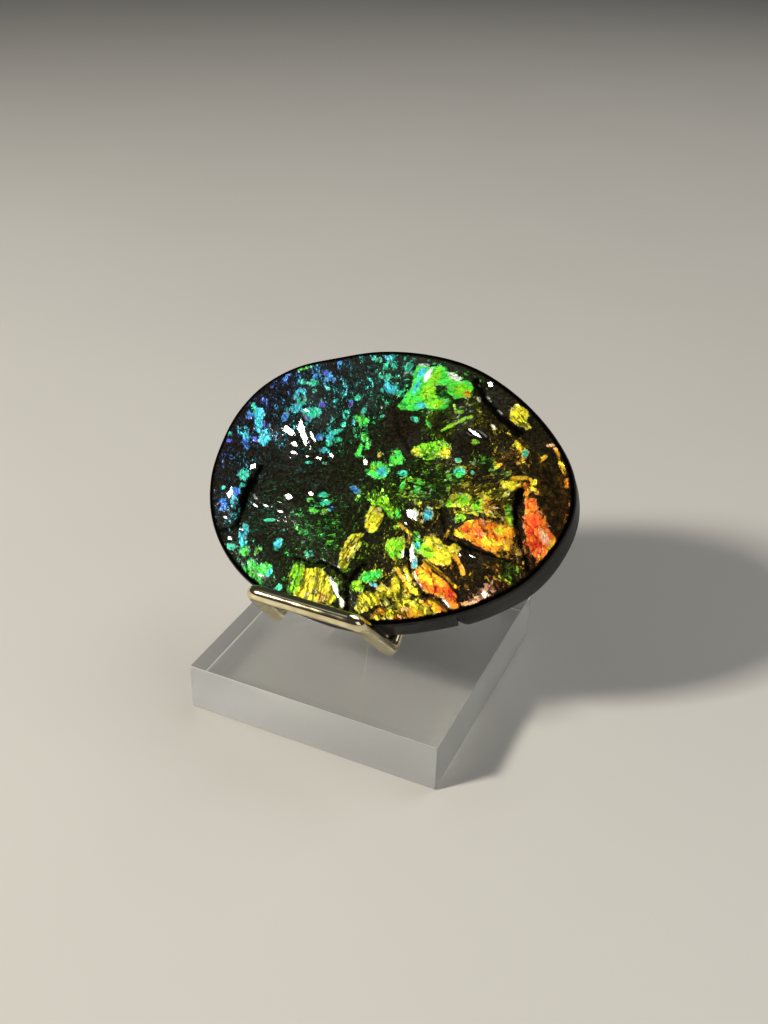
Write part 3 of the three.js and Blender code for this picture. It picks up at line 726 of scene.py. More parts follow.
rings = [ring_at(rim_edge - inset - wall_step * ease(depth, STEP_START, STEP_END), depth)
         for inset, depth in RIM_PROFILE]
rings += [ring_at((rim_edge - BACK_ROUND - wall_step) * share, THICKNESS) for share in BACK_SHARES]
flat_points = np.vstack([np.column_stack([face_x, face_y, face_z]), *rings, [[0, 0, -THICKNESS]]])
across, up, out = flat_points[:, :1], flat_points[:, 1:2], flat_points[:, 2:]
world_points = FACE_CENTRE + across * ALONG + up * SLOPE_UP + out * OUTWARD
print(len(rings), "rings of", border.size, "points from the face round to the back")

# %% Faces of the slab
FACE, WALL, BACK = 0, 1, 2  # the slab's three finishes
corner = (np.arange(CELLS)[:, None] * (CELLS + 1) + np.arange(CELLS)).ravel()
quads = [np.column_stack([corner, corner + CELLS + 1, corner + CELLS + 2, corner + 1])]
finish_of = [np.full(corner.size, FACE)]
above = border
for number in range(len(rings)):
    below = face_x.size + number * border.size + np.arange(border.size)
    quads.append(np.column_stack([above, below, np.roll(below, -1), np.roll(above, -1)]))
    finish_of.append(np.full(border.size, WALL if number < len(RIM_PROFILE) else BACK))
    above = below
middle = len(flat_points) - 1
triangles = [(int(p), middle, int(q)) for p, q in zip(above, np.roll(above, -1))]
slab_mesh = bpy.data.meshes.new("ammolite_slab_fine")
slab_mesh.from_pydata(world_points * MM, [], np.vstack(quads).tolist() + triangles)
slab_mesh.polygons.foreach_set("material_index", np.concatenate(finish_of + [np.full(len(triangles), BACK)]))
slab_mesh.shade_smooth()
print(len(slab_mesh.polygons), "faces on the slab")

# %% [markdown]
# ## Values that the material reads
# The painted values go onto the mesh as named attributes. The material also needs to know where it
# is on the stone, so the flat millimetre place of every point is stored too. Crackle drawn from
# that place stays fixed to the stone, whichever way it leans.

# %% Values that the material reads
shell_colour, shell_depth = paint_face(face_x, face_y, from_edge)


def store(mesh, name, kind, values):
    """Writes one value for each point of a mesh under a name; points without one get zero."""
    key = "vector" if kind == "FLOAT_VECTOR" else "color"
    padded = np.zeros((len(mesh.vertices), values.shape[1]), np.float32)
    padded[:len(values)] = values
    mesh.attributes.new(name, kind, "POINT").data.foreach_set(key, padded.ravel())


store(slab_mesh, "place_mm", "FLOAT_VECTOR", flat_points)
store(slab_mesh, "shell", "FLOAT_COLOR", shell_colour)
store(slab_mesh, "depth", "FLOAT_COLOR", shell_depth)
store(slab_mesh, "grain", "FLOAT_VECTOR", grain_place(face_x, face_y))
print("mean lit share of the face", shell_colour[:, 3].mean().round(2))

# %% [markdown]
# ## Tools for materials
# A material is a little network. These helpers add a node, set its inputs and join it to what comes
# before, so that each material below reads from top to bottom like a recipe. The short ones stand
# for the steps that come back all the time: a sum, a product, a smooth step, noise and a bump.

# %% Tools for materials
def new_finish(name):
    """A material with its node tree and the main shader."""
    material = bpy.data.materials.new(name)
    material.use_nodes = True
    return material, material.node_tree, material.node_tree.nodes["Principled BSDF"]


def feed(tree, socket, value):
    """Joins an output to an input, or sets the input's own value."""
    if isinstance(value, bpy.types.NodeSocket):
        tree.links.new(value, socket)
    else:
        socket.default_value = value


def fill(tree, node, **inputs):
    """Feeds inputs by name. Inputs are values or other nodes' outputs; an underscore is a space."""
    for key, value in inputs.items():
        feed(tree, node.inputs[key.replace("_", " ")], value)


def add(tree, kind, settings=None, *values, **inputs):
    """Adds a node with its settings, and feeds inputs in order or by name."""
    node = tree.nodes.new("ShaderNode" + kind)
    for key, value in (settings or {}).items():
        setattr(node, key, value)
    for socket, value in zip(node.inputs, values):
        feed(tree, socket, value)
    fill(tree, node, **inputs)
    return node


def stored(tree, name):
    """The node that reads values stored on the mesh under a name."""
    return add(tree, "Attribute", {"attribute_name": name})


print("Blender has", sum(kind.startswith("ShaderNode") for kind in dir(bpy.types)), "kinds of shader node")


# %% Steps that the materials share
def calc(tree, operation, *values, clamp=False):
    """One step of arithmetic on numbers or outputs."""
    return add(tree, "Math", {"operation": operation, "use_clamp": clamp}, *values).outputs[0]


def vector(tree, operation, *values):
    """One step of arithmetic on vectors; the result may be a vector or a value."""
    return add(tree, "VectorMath", {"operation": operation}, *values).outputs


def times(tree, first, second):
    """The product of two numbers or outputs."""
    return calc(tree, "MULTIPLY", first, second)


def plus(tree, first, second, clamp=False):
    """The sum of two numbers or outputs."""
    return calc(tree, "ADD", first, second, clamp=clamp)


def less(tree, first, second):
    """What is left of the first without the second."""
    return calc(tree, "SUBTRACT", first, second)


def blend(tree, share, first, second, how="MIX"):
    """Mixes two colours."""
    node = add(tree, "Mix", {"data_type": "RGBA", "blend_type": how})
    for index, value in ((0, share), (6, first), (7, second)):
        feed(tree, node.inputs[index], value)
    return node.outputs[2]


def step(tree, value, start, end, low=0.0, high=1.0):
    """Low before start, high after end, smooth between."""
    smooth = {"interpolation_type": "SMOOTHSTEP"}
    return add(tree, "MapRange", smooth, value, start, end, low, high).outputs[0]


def stretch(tree, place, **inputs):
    """A place that is scaled, turned or moved, so that a pattern drawn from it is as well."""
    return add(tree, "Mapping", Vector=place, **inputs).outputs[0]


def noise(tree, place, scale, detail, roughness=0.5):
    """Cloudy noise from 0 to 1."""
    return add(tree, "TexNoise", Vector=place, Scale=scale, Detail=detail, Roughness=roughness).outputs["Fac"]


def bump(tree, strength, depth, height):
    """A surface bent by a height, with its depth in metres."""
    return add(tree, "Bump", Strength=strength, Distance=depth, Height=height).outputs[0]


def grey(level):
    """A plain grey as a colour."""
    return (level, level, level, 1)


print("a grey of one fifth is the colour", grey(0.2))

# %% [markdown]
# ## The ammolite face
# Ammolite is thin, iridescent shell over dark rock, broken into tiny plates, under a clear coat that
# makes it wet-looking. Thin-film colour could be simulated in the shader, but which colour shows
# where is the stone's own pattern, so it is painted and only the crackle is made here. Three sets of
# Voronoi cells, from a millimetre and a half down to a quarter, are the shards. Each shard draws a
# lot, and is lit where the painted share beats it. The lines between shards are the cracks. The place
# is stretched along the grain and nudged by noise first, or the shards look like tiles.

# %% The ammolite face
PLATE_SCALE, CHIP_SCALE, GRIT_SCALE = 0.62, 1.8, 4.0  # the three sets of shards, from coarse to fine
NUDGE = (1.3, 1.3, 0)  # how far noise pushes the shards out of line
CRACK_SHOULDER = 0.12  # a tipped shard levels out this close to its crack
PLANAR = {"voronoi_dimensions": "2D"}
face_finish, tree, shader = new_finish("ammolite face")
place = stored(tree, "place_mm").outputs["Vector"]
shell = stored(tree, "shell")
depth = stored(tree, "depth")
glow_share, shade_share, streak_share = add(tree, "SeparateColor", Color=depth.outputs["Color"]).outputs
drift = add(tree, "TexNoise", Vector=place, Scale=0.9, Detail=3.0, Roughness=0.6).outputs["Color"]
wander = vector(tree, "MULTIPLY_ADD", drift, NUDGE, stored(tree, "grain").outputs["Vector"])[0]


def shards(scale):
    """Voronoi shards, and three random numbers for each."""
    shard = add(tree, "TexVoronoi", PLANAR, Vector=wander, Scale=scale)
    return shard, add(tree, "SeparateColor", Color=shard.outputs["Color"]).outputs


def cracks(scale, shard):
    """How far the crack round each shard is, and the tilt of each shard as a height."""
    to_crack = {**PLANAR, "feature": "DISTANCE_TO_EDGE"}
    from_crack = add(tree, "TexVoronoi", to_crack, Vector=wander, Scale=scale).outputs["Distance"]
    from_middle = vector(tree, "SUBTRACT", wander, shard.outputs["Position"])[0]
    tip = vector(tree, "SUBTRACT", shard.outputs["Color"], (0.5, 0.5, 0.5))[0]
    tilt = vector(tree, "DOT_PRODUCT", from_middle, tip)["Value"]
    return from_crack, times(tree, tilt, step(tree, from_crack, 0.0, CRACK_SHOULDER))


plate, plate_tone = shards(PLATE_SCALE)
chip, chip_tone = shards(CHIP_SCALE)
_, grit_tone = shards(GRIT_SCALE)  # grit is too fine to show a crack
plate_edge, plate_tilt = cracks(PLATE_SCALE, plate)
chip_edge, chip_tilt = cracks(CHIP_SCALE, chip)
mottle = noise(tree, place, 1.6, 5.0, 0.7)
veil = noise(tree, place, 0.5, 2.0)
print("three sets of shards make", len(tree.nodes), "nodes so far")

# %% [markdown]
# ## Lit and dark shards
# The lot that a shard draws comes from all three sets, so a lit plate keeps a few dark chips and a
# dark one a few lit ones. A shard that wins by far counts as settled: it lies inside a plate or a
# flake and shines evenly. In the loose crackle most shards are dim and a few are very bright.

# %% Which shards are lit
PLATE_LOT, CHIP_LOT, GRIT_LOT = 0.66, 0.5, 0.28  # what each set of shards adds to the lot
HEAD_START = 0.22  # so that a painted share of a half lights about half of the shards
WIDEST_CRACK = 0.16
chance = plus(tree, times(tree, plate_tone[0], PLATE_LOT), times(tree, chip_tone[0], CHIP_LOT))
chance = plus(tree, chance, times(tree, grit_tone[0], GRIT_LOT))
ahead = less(tree, plus(tree, shell.outputs["Alpha"], HEAD_START), chance)
crack_width = step(tree, mottle, 0.4, 0.7, 0.0, WIDEST_CRACK)
plate_crack = step(tree, less(tree, plate_edge, crack_width), -0.05, 0.02, 0.12)
chip_crack = step(tree, less(tree, chip_edge, crack_width), -0.06, 0.02, 0.45)
settled = step(tree, ahead, 0.1, 0.6)  # far ahead of the lot: inside a plate or a flake
cracked = times(tree, plate_crack, chip_crack)
whole = add(tree, "Mix", A=cracked, B=1.0, Factor=times(tree, settled, 0.2)).outputs[0]
not_shade = less(tree, 1.0, shade_share)
lit = times(tree, times(tree, step(tree, ahead, -0.02, 0.05), not_shade), whole)
print("a shard's lot is at most", round(PLATE_LOT + CHIP_LOT + GRIT_LOT, 2))

# %% How bright each shard is
DIMMEST, LUCK_GAIN, LUCK_POWER = 0.14, 2.2, 2.4  # a scattered shard: mostly dim, a few very bright
EVEN_DIMMEST, EVEN_GAIN = 0.7, 0.85  # a settled one: much like its neighbours
GRIT_DIMMEST, GRIT_GAIN = 0.86, 0.28
luck = plus(tree, times(tree, plate_tone[2], 0.5), times(tree, chip_tone[2], 0.5))
spread = plus(tree, DIMMEST, times(tree, LUCK_GAIN, calc(tree, "POWER", luck, LUCK_POWER)))
even = plus(tree, EVEN_DIMMEST, times(tree, luck, EVEN_GAIN))
bright = add(tree, "Mix", A=spread, B=even, Factor=settled).outputs[0]
bright = times(tree, bright, plus(tree, GRIT_DIMMEST, times(tree, grit_tone[1], GRIT_GAIN)))
streaks = noise(tree, stretch(tree, wander, Scale=(0.4, 2.0, 1)), 1.0, 3.0)
dark_streaks = times(tree, streak_share, step(tree, streaks, 0.54, 0.42, 0.0, 0.8))
bright = times(tree, bright, less(tree, 1.0, dark_streaks))
print("the luckiest shard is", round((DIMMEST + LUCK_GAIN) / DIMMEST), "times as bright as the dimmest")

# %% [markdown]
# ## Colour and gloss
# What isn't lit is rock, and some colour of deeper shell glows through it. Under the clear coat every
# shard leans its own way, so they flash one by one as the stone turns. The coat has soft ripples of
# its own, and ends just inside the bevel.

# %% Colour of the shell and of the rock
SAME_HUE = 0.5  # the hue node leaves a colour alone at this value
CHIP_SHIFT, VEIL_SHIFT, MEAN_SHIFT = 0.035, 0.06, 0.046  # the hue drifts from chip to chip and in veils
BLACK_ROCK, BROWN_ROCK = (0.004, 0.0038, 0.0015, 1), (0.026, 0.021, 0.008, 1)
# The near black is painted shade, for the crevices and the band along the edge; the pale colour is for specks
# of pale shell and painted glints.
SHADE_BLACK, PEARL_AND_GLINT = (0.0012, 0.001, 0.001, 1), (0.85, 0.9, 0.8, 1)
shift = plus(tree, times(tree, chip_tone[1], CHIP_SHIFT), times(tree, veil, VEIL_SHIFT))
shift = plus(tree, shift, SAME_HUE - MEAN_SHIFT)
glowing = add(tree, "HueSaturation", Color=shell.outputs["Color"], Hue=shift, Value=bright).outputs[0]
# Pale specks in the loose crackle: partly pale shell, partly painted highlights that stand for tiny glints on
# broken shell edges.
pale = times(tree, step(tree, grit_tone[2], 0.8, 0.9), 0.35)
nacre = blend(tree, times(tree, pale, step(tree, settled, 1.0, 0.3)), glowing, PEARL_AND_GLINT)
rock = blend(tree, step(tree, mottle, 0.4, 0.7), BLACK_ROCK, BROWN_ROCK)
hidden = blend(tree, step(tree, mottle, 0.35, 0.68), grey(0.06), grey(0.32))
hidden = blend(tree, 1.0, glowing, hidden, "MULTIPLY")  # shell that shines through from deeper down
nearly_lit = times(tree, step(tree, ahead, -0.45, -0.05), times(tree, chip_tone[1], 0.35))
rock = blend(tree, plus(tree, glow_share, nearly_lit, clamp=True), rock, hidden)
crumb = times(tree, step(tree, grit_tone[1], 0.88, 0.94), step(tree, shell.outputs["Alpha"], -0.25, 0.2))
crumb = times(tree, crumb, times(tree, chip_tone[2], 0.6))
rock = blend(tree, crumb, rock, glowing)
rock = blend(tree, shade_share, rock, SHADE_BLACK)
print("the hue drifts by up to", round(max(MEAN_SHIFT, CHIP_SHIFT + VEIL_SHIFT - MEAN_SHIFT), 3), "of a turn")

# %% Gloss of the face
FACET_DEPTH, RIPPLE_DEPTH = 0.4 * MM, 0.06 * MM  # shards under the coat, and ripples in the coat
facets = plus(tree, chip_tilt, times(tree, plate_tilt, 0.6))
ripple = noise(tree, place, 1.1, 3.0, 0.6)
coated = times(tree, not_shade, depth.outputs["Alpha"])
fill(tree, shader, Base_Color=blend(tree, lit, rock, nacre), Roughness=step(tree, lit, 0.0, 1.0, 0.5, 0.34),
     Metallic=times(tree, lit, 0.2), Specular_IOR_Level=0.0, Normal=bump(tree, 1.0, FACET_DEPTH, facets),
     Coat_Weight=coated, Coat_Roughness=0.1, Coat_Normal=bump(tree, 1.0, RIPPLE_DEPTH, ripple))
print("ammolite face has", len(tree.nodes), "nodes")

# %% [markdown]
# ## The ground side wall and the sawn back
# Round the rim the dark rock is ground and polished to a satin black, with a few faint lines that
# the wheel left. The back was only sawn: it is greyer, dull, and carries the arcs of the saw. Both
# are two near colours of rock, mixed by noise. Stretching the noise along the direction of the cut
# is what makes it read as a tool mark rather than as dirt.

# %% The ground side wall
wall_finish, tree, shader = new_finish("ground rim")
place = stored(tree, "place_mm").outputs["Vector"]
wheel_marks = noise(tree, stretch(tree, place, Scale=(0.25, 0.25, 6)), 1.0, 5.0, 0.7)
specks = noise(tree, place, 2.0, 5.0, 0.7)
rim_rock = blend(tree, step(tree, specks, 0.4, 0.7), (0.006, 0.0055, 0.0055, 1), (0.02, 0.019, 0.019, 1))
fill(tree, shader, Base_Color=rim_rock, Roughness=step(tree, wheel_marks, 0.3, 0.7, 0.36, 0.5),
     Specular_IOR_Level=0.2, Normal=bump(tree, 0.35, 0.06 * MM, wheel_marks))
print("ground rim has", len(tree.nodes), "nodes")

# %% The sawn back
back_finish, tree, shader = new_finish("sawn back")
place = stored(tree, "place_mm").outputs["Vector"]
arcs = {"wave_type": "RINGS", "rings_direction": "Z"}
saw = add(tree, "TexWave", arcs, Vector=stretch(tree, place, Location=(60, -25, 0)), Scale=0.32,
          Distortion=0.6, Detail=2.0).outputs["Fac"]
patchy = noise(tree, place, 0.22, 8.0, 0.65)
back_rock = blend(tree, step(tree, patchy, 0.35, 0.65), (0.030, 0.026, 0.022, 1), (0.085, 0.074, 0.060, 1))
back_rock = blend(tree, times(tree, saw, 0.25), back_rock, (0.11, 0.10, 0.088, 1))
marks = plus(tree, saw, times(tree, patchy, 1.5))
fill(tree, shader, Base_Color=back_rock, Roughness=step(tree, patchy, 0.3, 0.7, 0.62, 0.8),
     Normal=bump(tree, 0.5, 0.08 * MM, marks))
print("sawn back has", len(tree.nodes), "nodes")

# %% [markdown]
# ## Into the scene
# A mesh shows once an object carries it and the scene holds that object. Each piece also rides on a
# body, and the measured piece that it replaces is hidden.

# %% Put the slab in the scene
def place_piece(name, mesh, node, slot, *finishes):
    """Makes an object of a mesh, gives it its finishes and hides the measured node that it replaces."""
    piece = bpy.data.objects.new(name, mesh)
    bpy.context.scene.collection.objects.link(piece)
    for finish in finishes:
        mesh.materials.append(finish)
    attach(piece, "root")
    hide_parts(node)
    print(name, "has", len(mesh.polygons), "faces")


place_piece("polished_ammolite_slab", slab_mesh, "ammolite_slab", "ammolite",
            face_finish, wall_finish, back_finish)

# %% [markdown]
# ## The wire cradle
# One rod is bent into the whole cradle: up from the block, over the crown, down the slope behind the
# stone, round the elbow, out under the stone and up to the lip, then back the same way. A curve with
# a bevel would do, but sweeping a round section along the route by hand gives evenly turned rings and
# lets each ring remember how far along the wire it is, which the drawn surface of the metal needs.

# %% Route of the wire
WIRE_RADIUS = 1.4
FOOT_Y, FOOT_Z = 20.0, 6.0
LIP_LENGTH, LEG_LENGTH, BACK_SPAN, FOOT_SPAN = 19.8, 16.6, 22.9, 17.0


def side_corners(side):
    """Corners of one side with their bend radii, from the foot to the lip."""
    elbow = from_lip(side * BACK_SPAN / 2, 0, -LEG_LENGTH)
    crown = elbow + SLOPE_UP * (FOOT_Y - elbow[1]) / SLOPE_UP[1]
    foot = np.array([LIP_CENTRE[0] + side * FOOT_SPAN / 2, FOOT_Y, FOOT_Z])
    return [(foot, 0), (crown, 4.0), (elbow, 1.7), (from_lip(side * LIP_LENGTH / 2, 0, 0), 1.7)]


def bent_route(corners, steps=18):
    """Centre line of a rod: straights between corners, with a round bend at each."""
    line = [corners[0][0]]
    for (before, _), (corner, bend), (after, _) in zip(corners, corners[1:], corners[2:]):
        inward = (corner - before) / np.linalg.norm(corner - before)
        onward = (after - corner) / np.linalg.norm(after - corner)
        turn = math.acos(np.clip(inward @ onward, -1, 1))
        start = corner - inward * bend * math.tan(turn / 2)
        across = onward - inward * (inward @ onward)
        across /= np.linalg.norm(across)
        centre = start + across * bend
        for angle in np.linspace(0, turn, steps):
            line.append(centre - across * bend * math.cos(angle) + inward * bend * math.sin(angle))
    line.append(corners[-1][0])
    return np.array(line)


corners = side_corners(-1) + side_corners(1)[::-1]
route = bent_route(corners)
run = np.concatenate([[0], np.cumsum(np.linalg.norm(np.diff(route, axis=0), axis=1))])
print("the rod is", run[-1].round(1), "mm long")

# %% Sweep the wire
SIDES = 36
STRAIGHT_STEP = 1.2  # longest ring spacing on the straights


def even_out(line, run):
    """Adds points on the long straights."""
    stops = [run[0]]
    for stop in run[1:]:
        pieces = max(1, math.ceil((stop - stops[-1]) / STRAIGHT_STEP))
        stops += list(np.linspace(stops[-1], stop, pieces + 1)[1:])
    stops = np.array(stops)
    return np.column_stack([np.interp(stops, run, line[:, i]) for i in range(3)]), stops


def sweep(line, radius):
    """Rings of points square to the line, turned as little as possible from ring to ring."""
    direction = np.gradient(line, axis=0)
    direction /= np.linalg.norm(direction, axis=1)[:, None]
    side = np.cross(direction[0], (0, 1, 0))
    side /= np.linalg.norm(side)
    around = np.linspace(0, 2 * math.pi, SIDES, endpoint=False)
    rings = []
    for point, heading in zip(line, direction):
        side = side - heading * (side @ heading)
        side /= np.linalg.norm(side)
        up = np.cross(heading, side)
        rings.append(point + radius * (np.cos(around)[:, None] * side + np.sin(around)[:, None] * up))
    return np.array(rings), around


line, stops = even_out(route, run)
wire_rings, around = sweep(line, WIRE_RADIUS)
count = len(wire_rings)
index = np.arange(count * SIDES).reshape(count, SIDES)
beside = np.roll(index, -1, 1)
wire_faces = np.stack([index[:-1], index[1:], beside[1:], beside[:-1]], 2).reshape(-1, 4)
caps = [index[0].tolist(), index[-1][::-1].tolist()]
wire_mesh = bpy.data.meshes.new("wire_cradle_fine")
wire_mesh.from_pydata(wire_rings.reshape(-1, 3) * MM, [], wire_faces.tolist() + caps)
wire_mesh.shade_smooth()
round_place = np.tile(np.column_stack([np.cos(around), np.sin(around)]), (count, 1))
drawn = np.column_stack([np.repeat(stops, SIDES), round_place])
store(wire_mesh, "drawn", "FLOAT_VECTOR", drawn)
print(count, "rings along the wire")

# %% [markdown]
# ## Gilt finish
# The wire is plated with a pale, champagne gold and polished. Real plating is never a perfect mirror:
# it has fine lines from drawing the rod, a little haze from handling, and patches of slightly browner
# metal. All three come from noise that is stretched along the length of the wire.

# %% Gilt finish
BRIGHT_GILT, BROWN_GILT = (0.86, 0.77, 0.50, 1), (0.68, 0.57, 0.32, 1)
gilt, tree, shader = new_finish("pale gilt")
drawn_place = stored(tree, "drawn").outputs["Vector"]
drawn_lines = noise(tree, stretch(tree, drawn_place, Scale=(0.12, 9, 9)), 1.0, 5.0, 0.7)
haze = noise(tree, stretch(tree, drawn_place, Scale=(0.35, 0.8, 0.8)), 1.0, 4.0)
fill(tree, shader, Base_Color=blend(tree, step(tree, haze, 0.35, 0.7), BRIGHT_GILT, BROWN_GILT), Metallic=1.0,
     Roughness=step(tree, haze, 0.3, 0.75, 0.07, 0.2), Normal=bump(tree, 0.12, 0.04 * MM, drawn_lines))
place_piece("bent_gilt_wire", wire_mesh, "wire_cradle", "gilt_wire", gilt)

# %% [markdown]
# ## Shape of the clear block
# The block is a slice of acrylic sheet: two polished faces, four satin edges where the sheet was cut
# and sanded, and two holes drilled along the struts for the wire's feet. Its outline is a square with
# tiny round corners, stacked in rings so that every edge is rounded as well. A perfectly sharp edge
# never catches the light. The holes are cut with a boolean, the way a drill would make them.

# %% Shape of the clear block
BLOCK_SIDE, BLOCK_HEIGHT = 50.0, 9.7
EDGE_ROUND = 0.16
CORNER_STEPS = 5


def rounded_square(inset, height):
    """One ring of the block: a square with round corners, shrunk by the inset."""
    corner = BLOCK_SIDE / 2 - EDGE_ROUND
    radius = EDGE_ROUND - inset
    ring = []
    for quarter in range(4):
        start = quarter * math.pi / 2
        turned = start + math.pi / 4
        cx = corner * math.copysign(1, math.cos(turned))
        cy = corner * math.copysign(1, math.sin(turned))
        for angle in np.linspace(start, start + math.pi / 2, CORNER_STEPS):
            ring.append((cx + radius * math.cos(angle), cy + radius * math.sin(angle), height))
    return ring


bends = np.radians([8, 30, 52, 74, 90])
edge_steps = [(EDGE_ROUND * (1 - math.sin(a)), EDGE_ROUND * (1 - math.cos(a))) for a in bends]
block_rings = [rounded_square(inset, climb) for inset, climb in edge_steps]
block_rings += [rounded_square(inset, BLOCK_HEIGHT - climb) for inset, climb in edge_steps[::-1]]
around_block = 4 * CORNER_STEPS
POLISHED, SATIN = 0, 1
block_faces, block_finish = [list(range(around_block))[::-1]], [POLISHED]
for level in range(len(block_rings) - 1):
    for i in range(around_block):
        j = (i + 1) % around_block
        base = level * around_block
        block_faces.append([base + i, base + j, base + around_block + j, base + around_block + i])
        block_finish.append(SATIN)
block_faces.append([(len(block_rings) - 1) * around_block + i for i in range(around_block)])
block_finish.append(POLISHED)
blank = bpy.data.meshes.new("block_blank")
blank.from_pydata([tuple(MM * c for c in point) for ring in block_rings for point in ring], [], block_faces)
blank.polygons.foreach_set("material_index", block_finish)
print("block before drilling has", len(blank.polygons), "faces")

# %% Drill the sockets
SOCKET_RADIUS, SOCKET_DEPTH = 1.7, 4.0
DRILL_SIDES = 40
DRILL_BELOW = 0.3  # how far under the foot the drill stops, in millimetres


def drill_bit(side):
    """A closed round rod along one strut, from the socket's bottom to above the block."""
    foot, crown = (corner for corner, _ in side_corners(side)[:2])
    strut = (crown - foot) / np.linalg.norm(crown - foot)
    across = np.cross(strut, (0, 1, 0))
    across /= np.linalg.norm(across)
    turned = np.cross(strut, across)
    angles = np.linspace(0, 2 * math.pi, DRILL_SIDES, endpoint=False)
    ring = [math.cos(a) * across + math.sin(a) * turned for a in angles]
    low, high = foot - strut * DRILL_BELOW, foot + strut * 2 * SOCKET_DEPTH
    points = [tuple(MM * (end + SOCKET_RADIUS * out)) for end in (low, high) for out in ring]
    n = DRILL_SIDES
    faces = [list(range(n))[::-1], list(range(n, 2 * n))]
    faces += [[i, (i + 1) % n, n + (i + 1) % n, n + i] for i in range(n)]
    mesh = bpy.data.meshes.new("drill_bit")
    mesh.from_pydata(points, [], faces)
    return bpy.data.objects.new("drill_bit", mesh)


drilled = bpy.data.objects.new("block_blank", blank)
bits = [drill_bit(side) for side in (-1, 1)]
for helper in (drilled, *bits):
    bpy.context.scene.collection.objects.link(helper)
for bit in bits:
    cutter = drilled.modifiers.new("socket", "BOOLEAN")
    cutter.operation = "DIFFERENCE"
    cutter.solver = "EXACT"
    cutter.object = bit
result = drilled.evaluated_get(bpy.context.evaluated_depsgraph_get())
block_mesh = bpy.data.meshes.new_from_object(result)
for helper in (drilled, *bits):
    bpy.data.objects.remove(helper)
print("block after drilling has", len(block_mesh.polygons), "faces")

# %% [markdown]
# ## Finish of the clear block
# Clear plastic is plain transmission with acrylic's own refraction and a trace of absorption in its
# depth. The two big faces are polished and only carry faint rubbing marks. The cut sides are satin:
# the same clear plastic with a rough surface, so they blur what lies behind them. Sanding also leaves
# a skin that scatters some of the light, so a share of the surface is plain white and looks milky.
# Two finishes on one mesh, chosen face by face, are enough for both.

# %% Finish of the clear block
ACRYLIC_IOR = 1.49


def acrylic(name, clear, smooth, rough, marks):
    """Clear plastic: the share that is clear, two roughnesses that it varies between, and its marks."""
    finish, tree, shader = new_finish(name)
    spot = add(tree, "TexCoord").outputs["Object"]
    rubbing = noise(tree, stretch(tree, spot, Rotation=(0, 0, 0.6), Scale=(90, 1400, 400)), 1.0, 4.0)
    pits = add(tree, "TexVoronoi", Vector=spot, Scale=160.0).outputs["Distance"]
    smear = noise(tree, spot, 60.0, 3.0)
    surface = plus(tree, times(tree, rubbing, 0.3), step(tree, pits, 0.02, 0.07))
    fill(tree, shader, Base_Color=(0.985, 0.985, 0.98, 1), Transmission_Weight=clear, IOR=ACRYLIC_IOR,
         Roughness=step(tree, smear, 0.4, 0.7, smooth, rough), Normal=bump(tree, marks, 0.05 * MM, surface))
    tint = add(tree, "VolumeAbsorption", Color=(0.94, 0.96, 0.95, 1), Density=4.0)
    tree.links.new(tint.outputs[0], tree.nodes["Material Output"].inputs["Volume"])
    return finish


polished = acrylic("polished acrylic", clear=0.89, smooth=0.01, rough=0.05, marks=0.08)
satin = acrylic("satin acrylic", clear=0.75, smooth=0.3, rough=0.42, marks=0.15)
place_piece("drilled_acrylic_block", block_mesh, "acrylic_block", "clear_acrylic", polished, satin)

# %% [markdown]
# ## Floor
# The specimen stands on a plain pale surface. It lies a fifth of a millimetre under the block, because
# two surfaces in exactly the same place flicker. A faint mottling keeps it from looking like paper.

# %% Floor
FLOOR_REACH = 4.0
FLOOR_DROP = 0.2 * MM
sides = ((-1, -1), (1, -1), (1, 1), (-1, 1))
floor_corners = [(x * FLOOR_REACH, y * FLOOR_REACH, -FLOOR_DROP) for x, y in sides]
floor_mesh = bpy.data.meshes.new("floor")
floor_mesh.from_pydata(floor_corners, [], [(0, 1, 2, 3)])
floor = bpy.data.objects.new("pale_floor", floor_mesh)
bpy.context.scene.collection.objects.link(floor)
floor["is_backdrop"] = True
floor_finish, tree, shader = new_finish("pale floor")
wear = noise(tree, add(tree, "TexCoord").outputs["Object"], 9.0, 4.0)
pale = blend(tree, wear, (0.54, 0.525, 0.49, 1), (0.59, 0.575, 0.54, 1))
fill(tree, shader, Base_Color=pale, Roughness=0.5)
floor_mesh.materials.append(floor_finish)
print("floor is", 2 * FLOOR_REACH, "m wide")

# %% [markdown]
# ## Light
# A polished stone shows its lights as highlights, so their size matters as much as their strength.
# One fairly small soft box from the front left gives the white flashes on the flats and a shadow
# towards the back right. A large one overhead shines down into the clear block, and one at the right
# fills the dark side. A small, very dim one stands where only slopes that face up and back mirror it,
# and lays a faint sheen over them. A low world light keeps the shadows from going black.

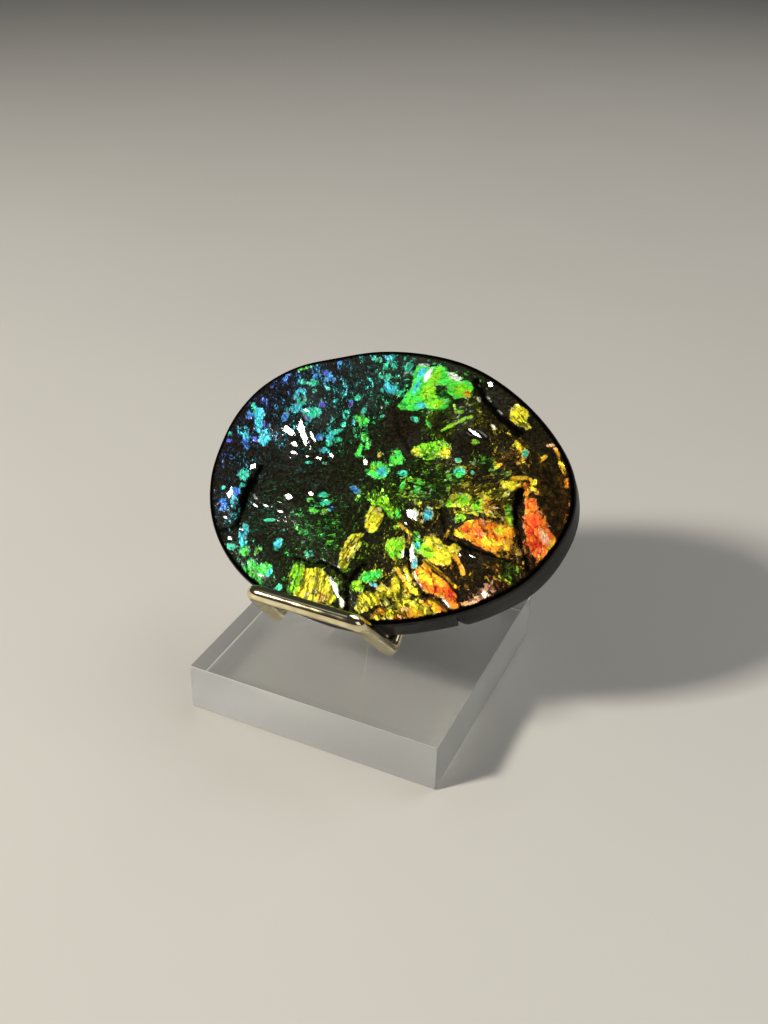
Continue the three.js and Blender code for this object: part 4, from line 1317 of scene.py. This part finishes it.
# %% Light
STONE = Vector((0.002, 0.0, 0.04))  # what every lamp faces
KEY_DIRECTION, SHEEN_DIRECTION = Vector((-0.547, -0.582, 0.602)), Vector((-0.36, -0.13, 0.92))
LAMP_DISTANCE = 0.9
LAMPS = [  # name, place, size in metres, watts, colour
    ("key", STONE + KEY_DIRECTION * LAMP_DISTANCE, 0.12, 10, (1.0, 0.95, 0.86)),
    ("overhead", Vector((0.25, 0.5, 0.9)), 0.7, 4, (1.0, 0.99, 0.96)),
    ("right_fill", Vector((0.9, -0.3, 0.35)), 0.5, 0.8, (1.0, 0.97, 0.92)),
    ("sheen", STONE + SHEEN_DIRECTION * LAMP_DISTANCE, 0.2, 0.05, (0.95, 0.97, 1.0)),
]
for name, spot, size, watts, colour in LAMPS:
    lamp = bpy.data.lights.new(name, "AREA")
    lamp.size = size
    lamp.energy = watts
    lamp.color = colour
    holder = bpy.data.objects.new(name, lamp)
    holder.location = spot
    holder.rotation_euler = (STONE - spot).to_track_quat("-Z", "Y").to_euler()
    bpy.context.scene.collection.objects.link(holder)
world = bpy.data.worlds.new("studio")
world.use_nodes = True
fill(world.node_tree, world.node_tree.nodes["Background"], Color=(0.95, 0.95, 1.0, 1), Strength=0.045)
bpy.context.scene.world = world
bpy.context.scene.view_settings.view_transform = "Standard"
print(len(LAMPS), "soft boxes")

# %% [markdown]
# ## Camera
# The camera stands about twenty centimetres away, in front of the block, to its right and above it,
# and looks down at the stone. Its turn is built from three angles: where it looks round the compass,
# how far down, and how far it is tipped sideways. Three unit vectors then make the rotation matrix.

# %% Camera
CAMERA_SPOT = Vector((73.26, -155.95, 141.30)) * MM
COMPASS, DOWN, TIP = (math.radians(a) for a in (-24.327, 31.309, 1.211))
ahead = Vector((math.sin(COMPASS) * math.cos(DOWN), math.cos(COMPASS) * math.cos(DOWN), -math.sin(DOWN)))
level = Vector((math.cos(COMPASS), -math.sin(COMPASS), 0))
upward = level.cross(ahead)
right = math.cos(TIP) * level + math.sin(TIP) * upward
top = math.cos(TIP) * upward - math.sin(TIP) * level
camera_data = bpy.data.cameras.new("camera")
camera_data.sensor_width = 36
camera_data.lens = 38.70
camera_data.clip_start = 0.01
camera = bpy.data.objects.new("camera", camera_data)
camera.matrix_world = Matrix.Translation(CAMERA_SPOT) @ Matrix((right, top, -ahead)).transposed().to_4x4()
bpy.context.scene.collection.objects.link(camera)
bpy.context.scene.camera = camera
print("camera looks down by", round(math.degrees(DOWN), 1), "degrees")

# Both boxes are printed side by side.

visual_box = [list(corner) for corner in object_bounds()]
for label, (low, high) in (("measured", cad_box), ("dressed", visual_box)):
    print(label, [round((b - a) / MM, 1) for a, b in zip(low, high)], "mm")
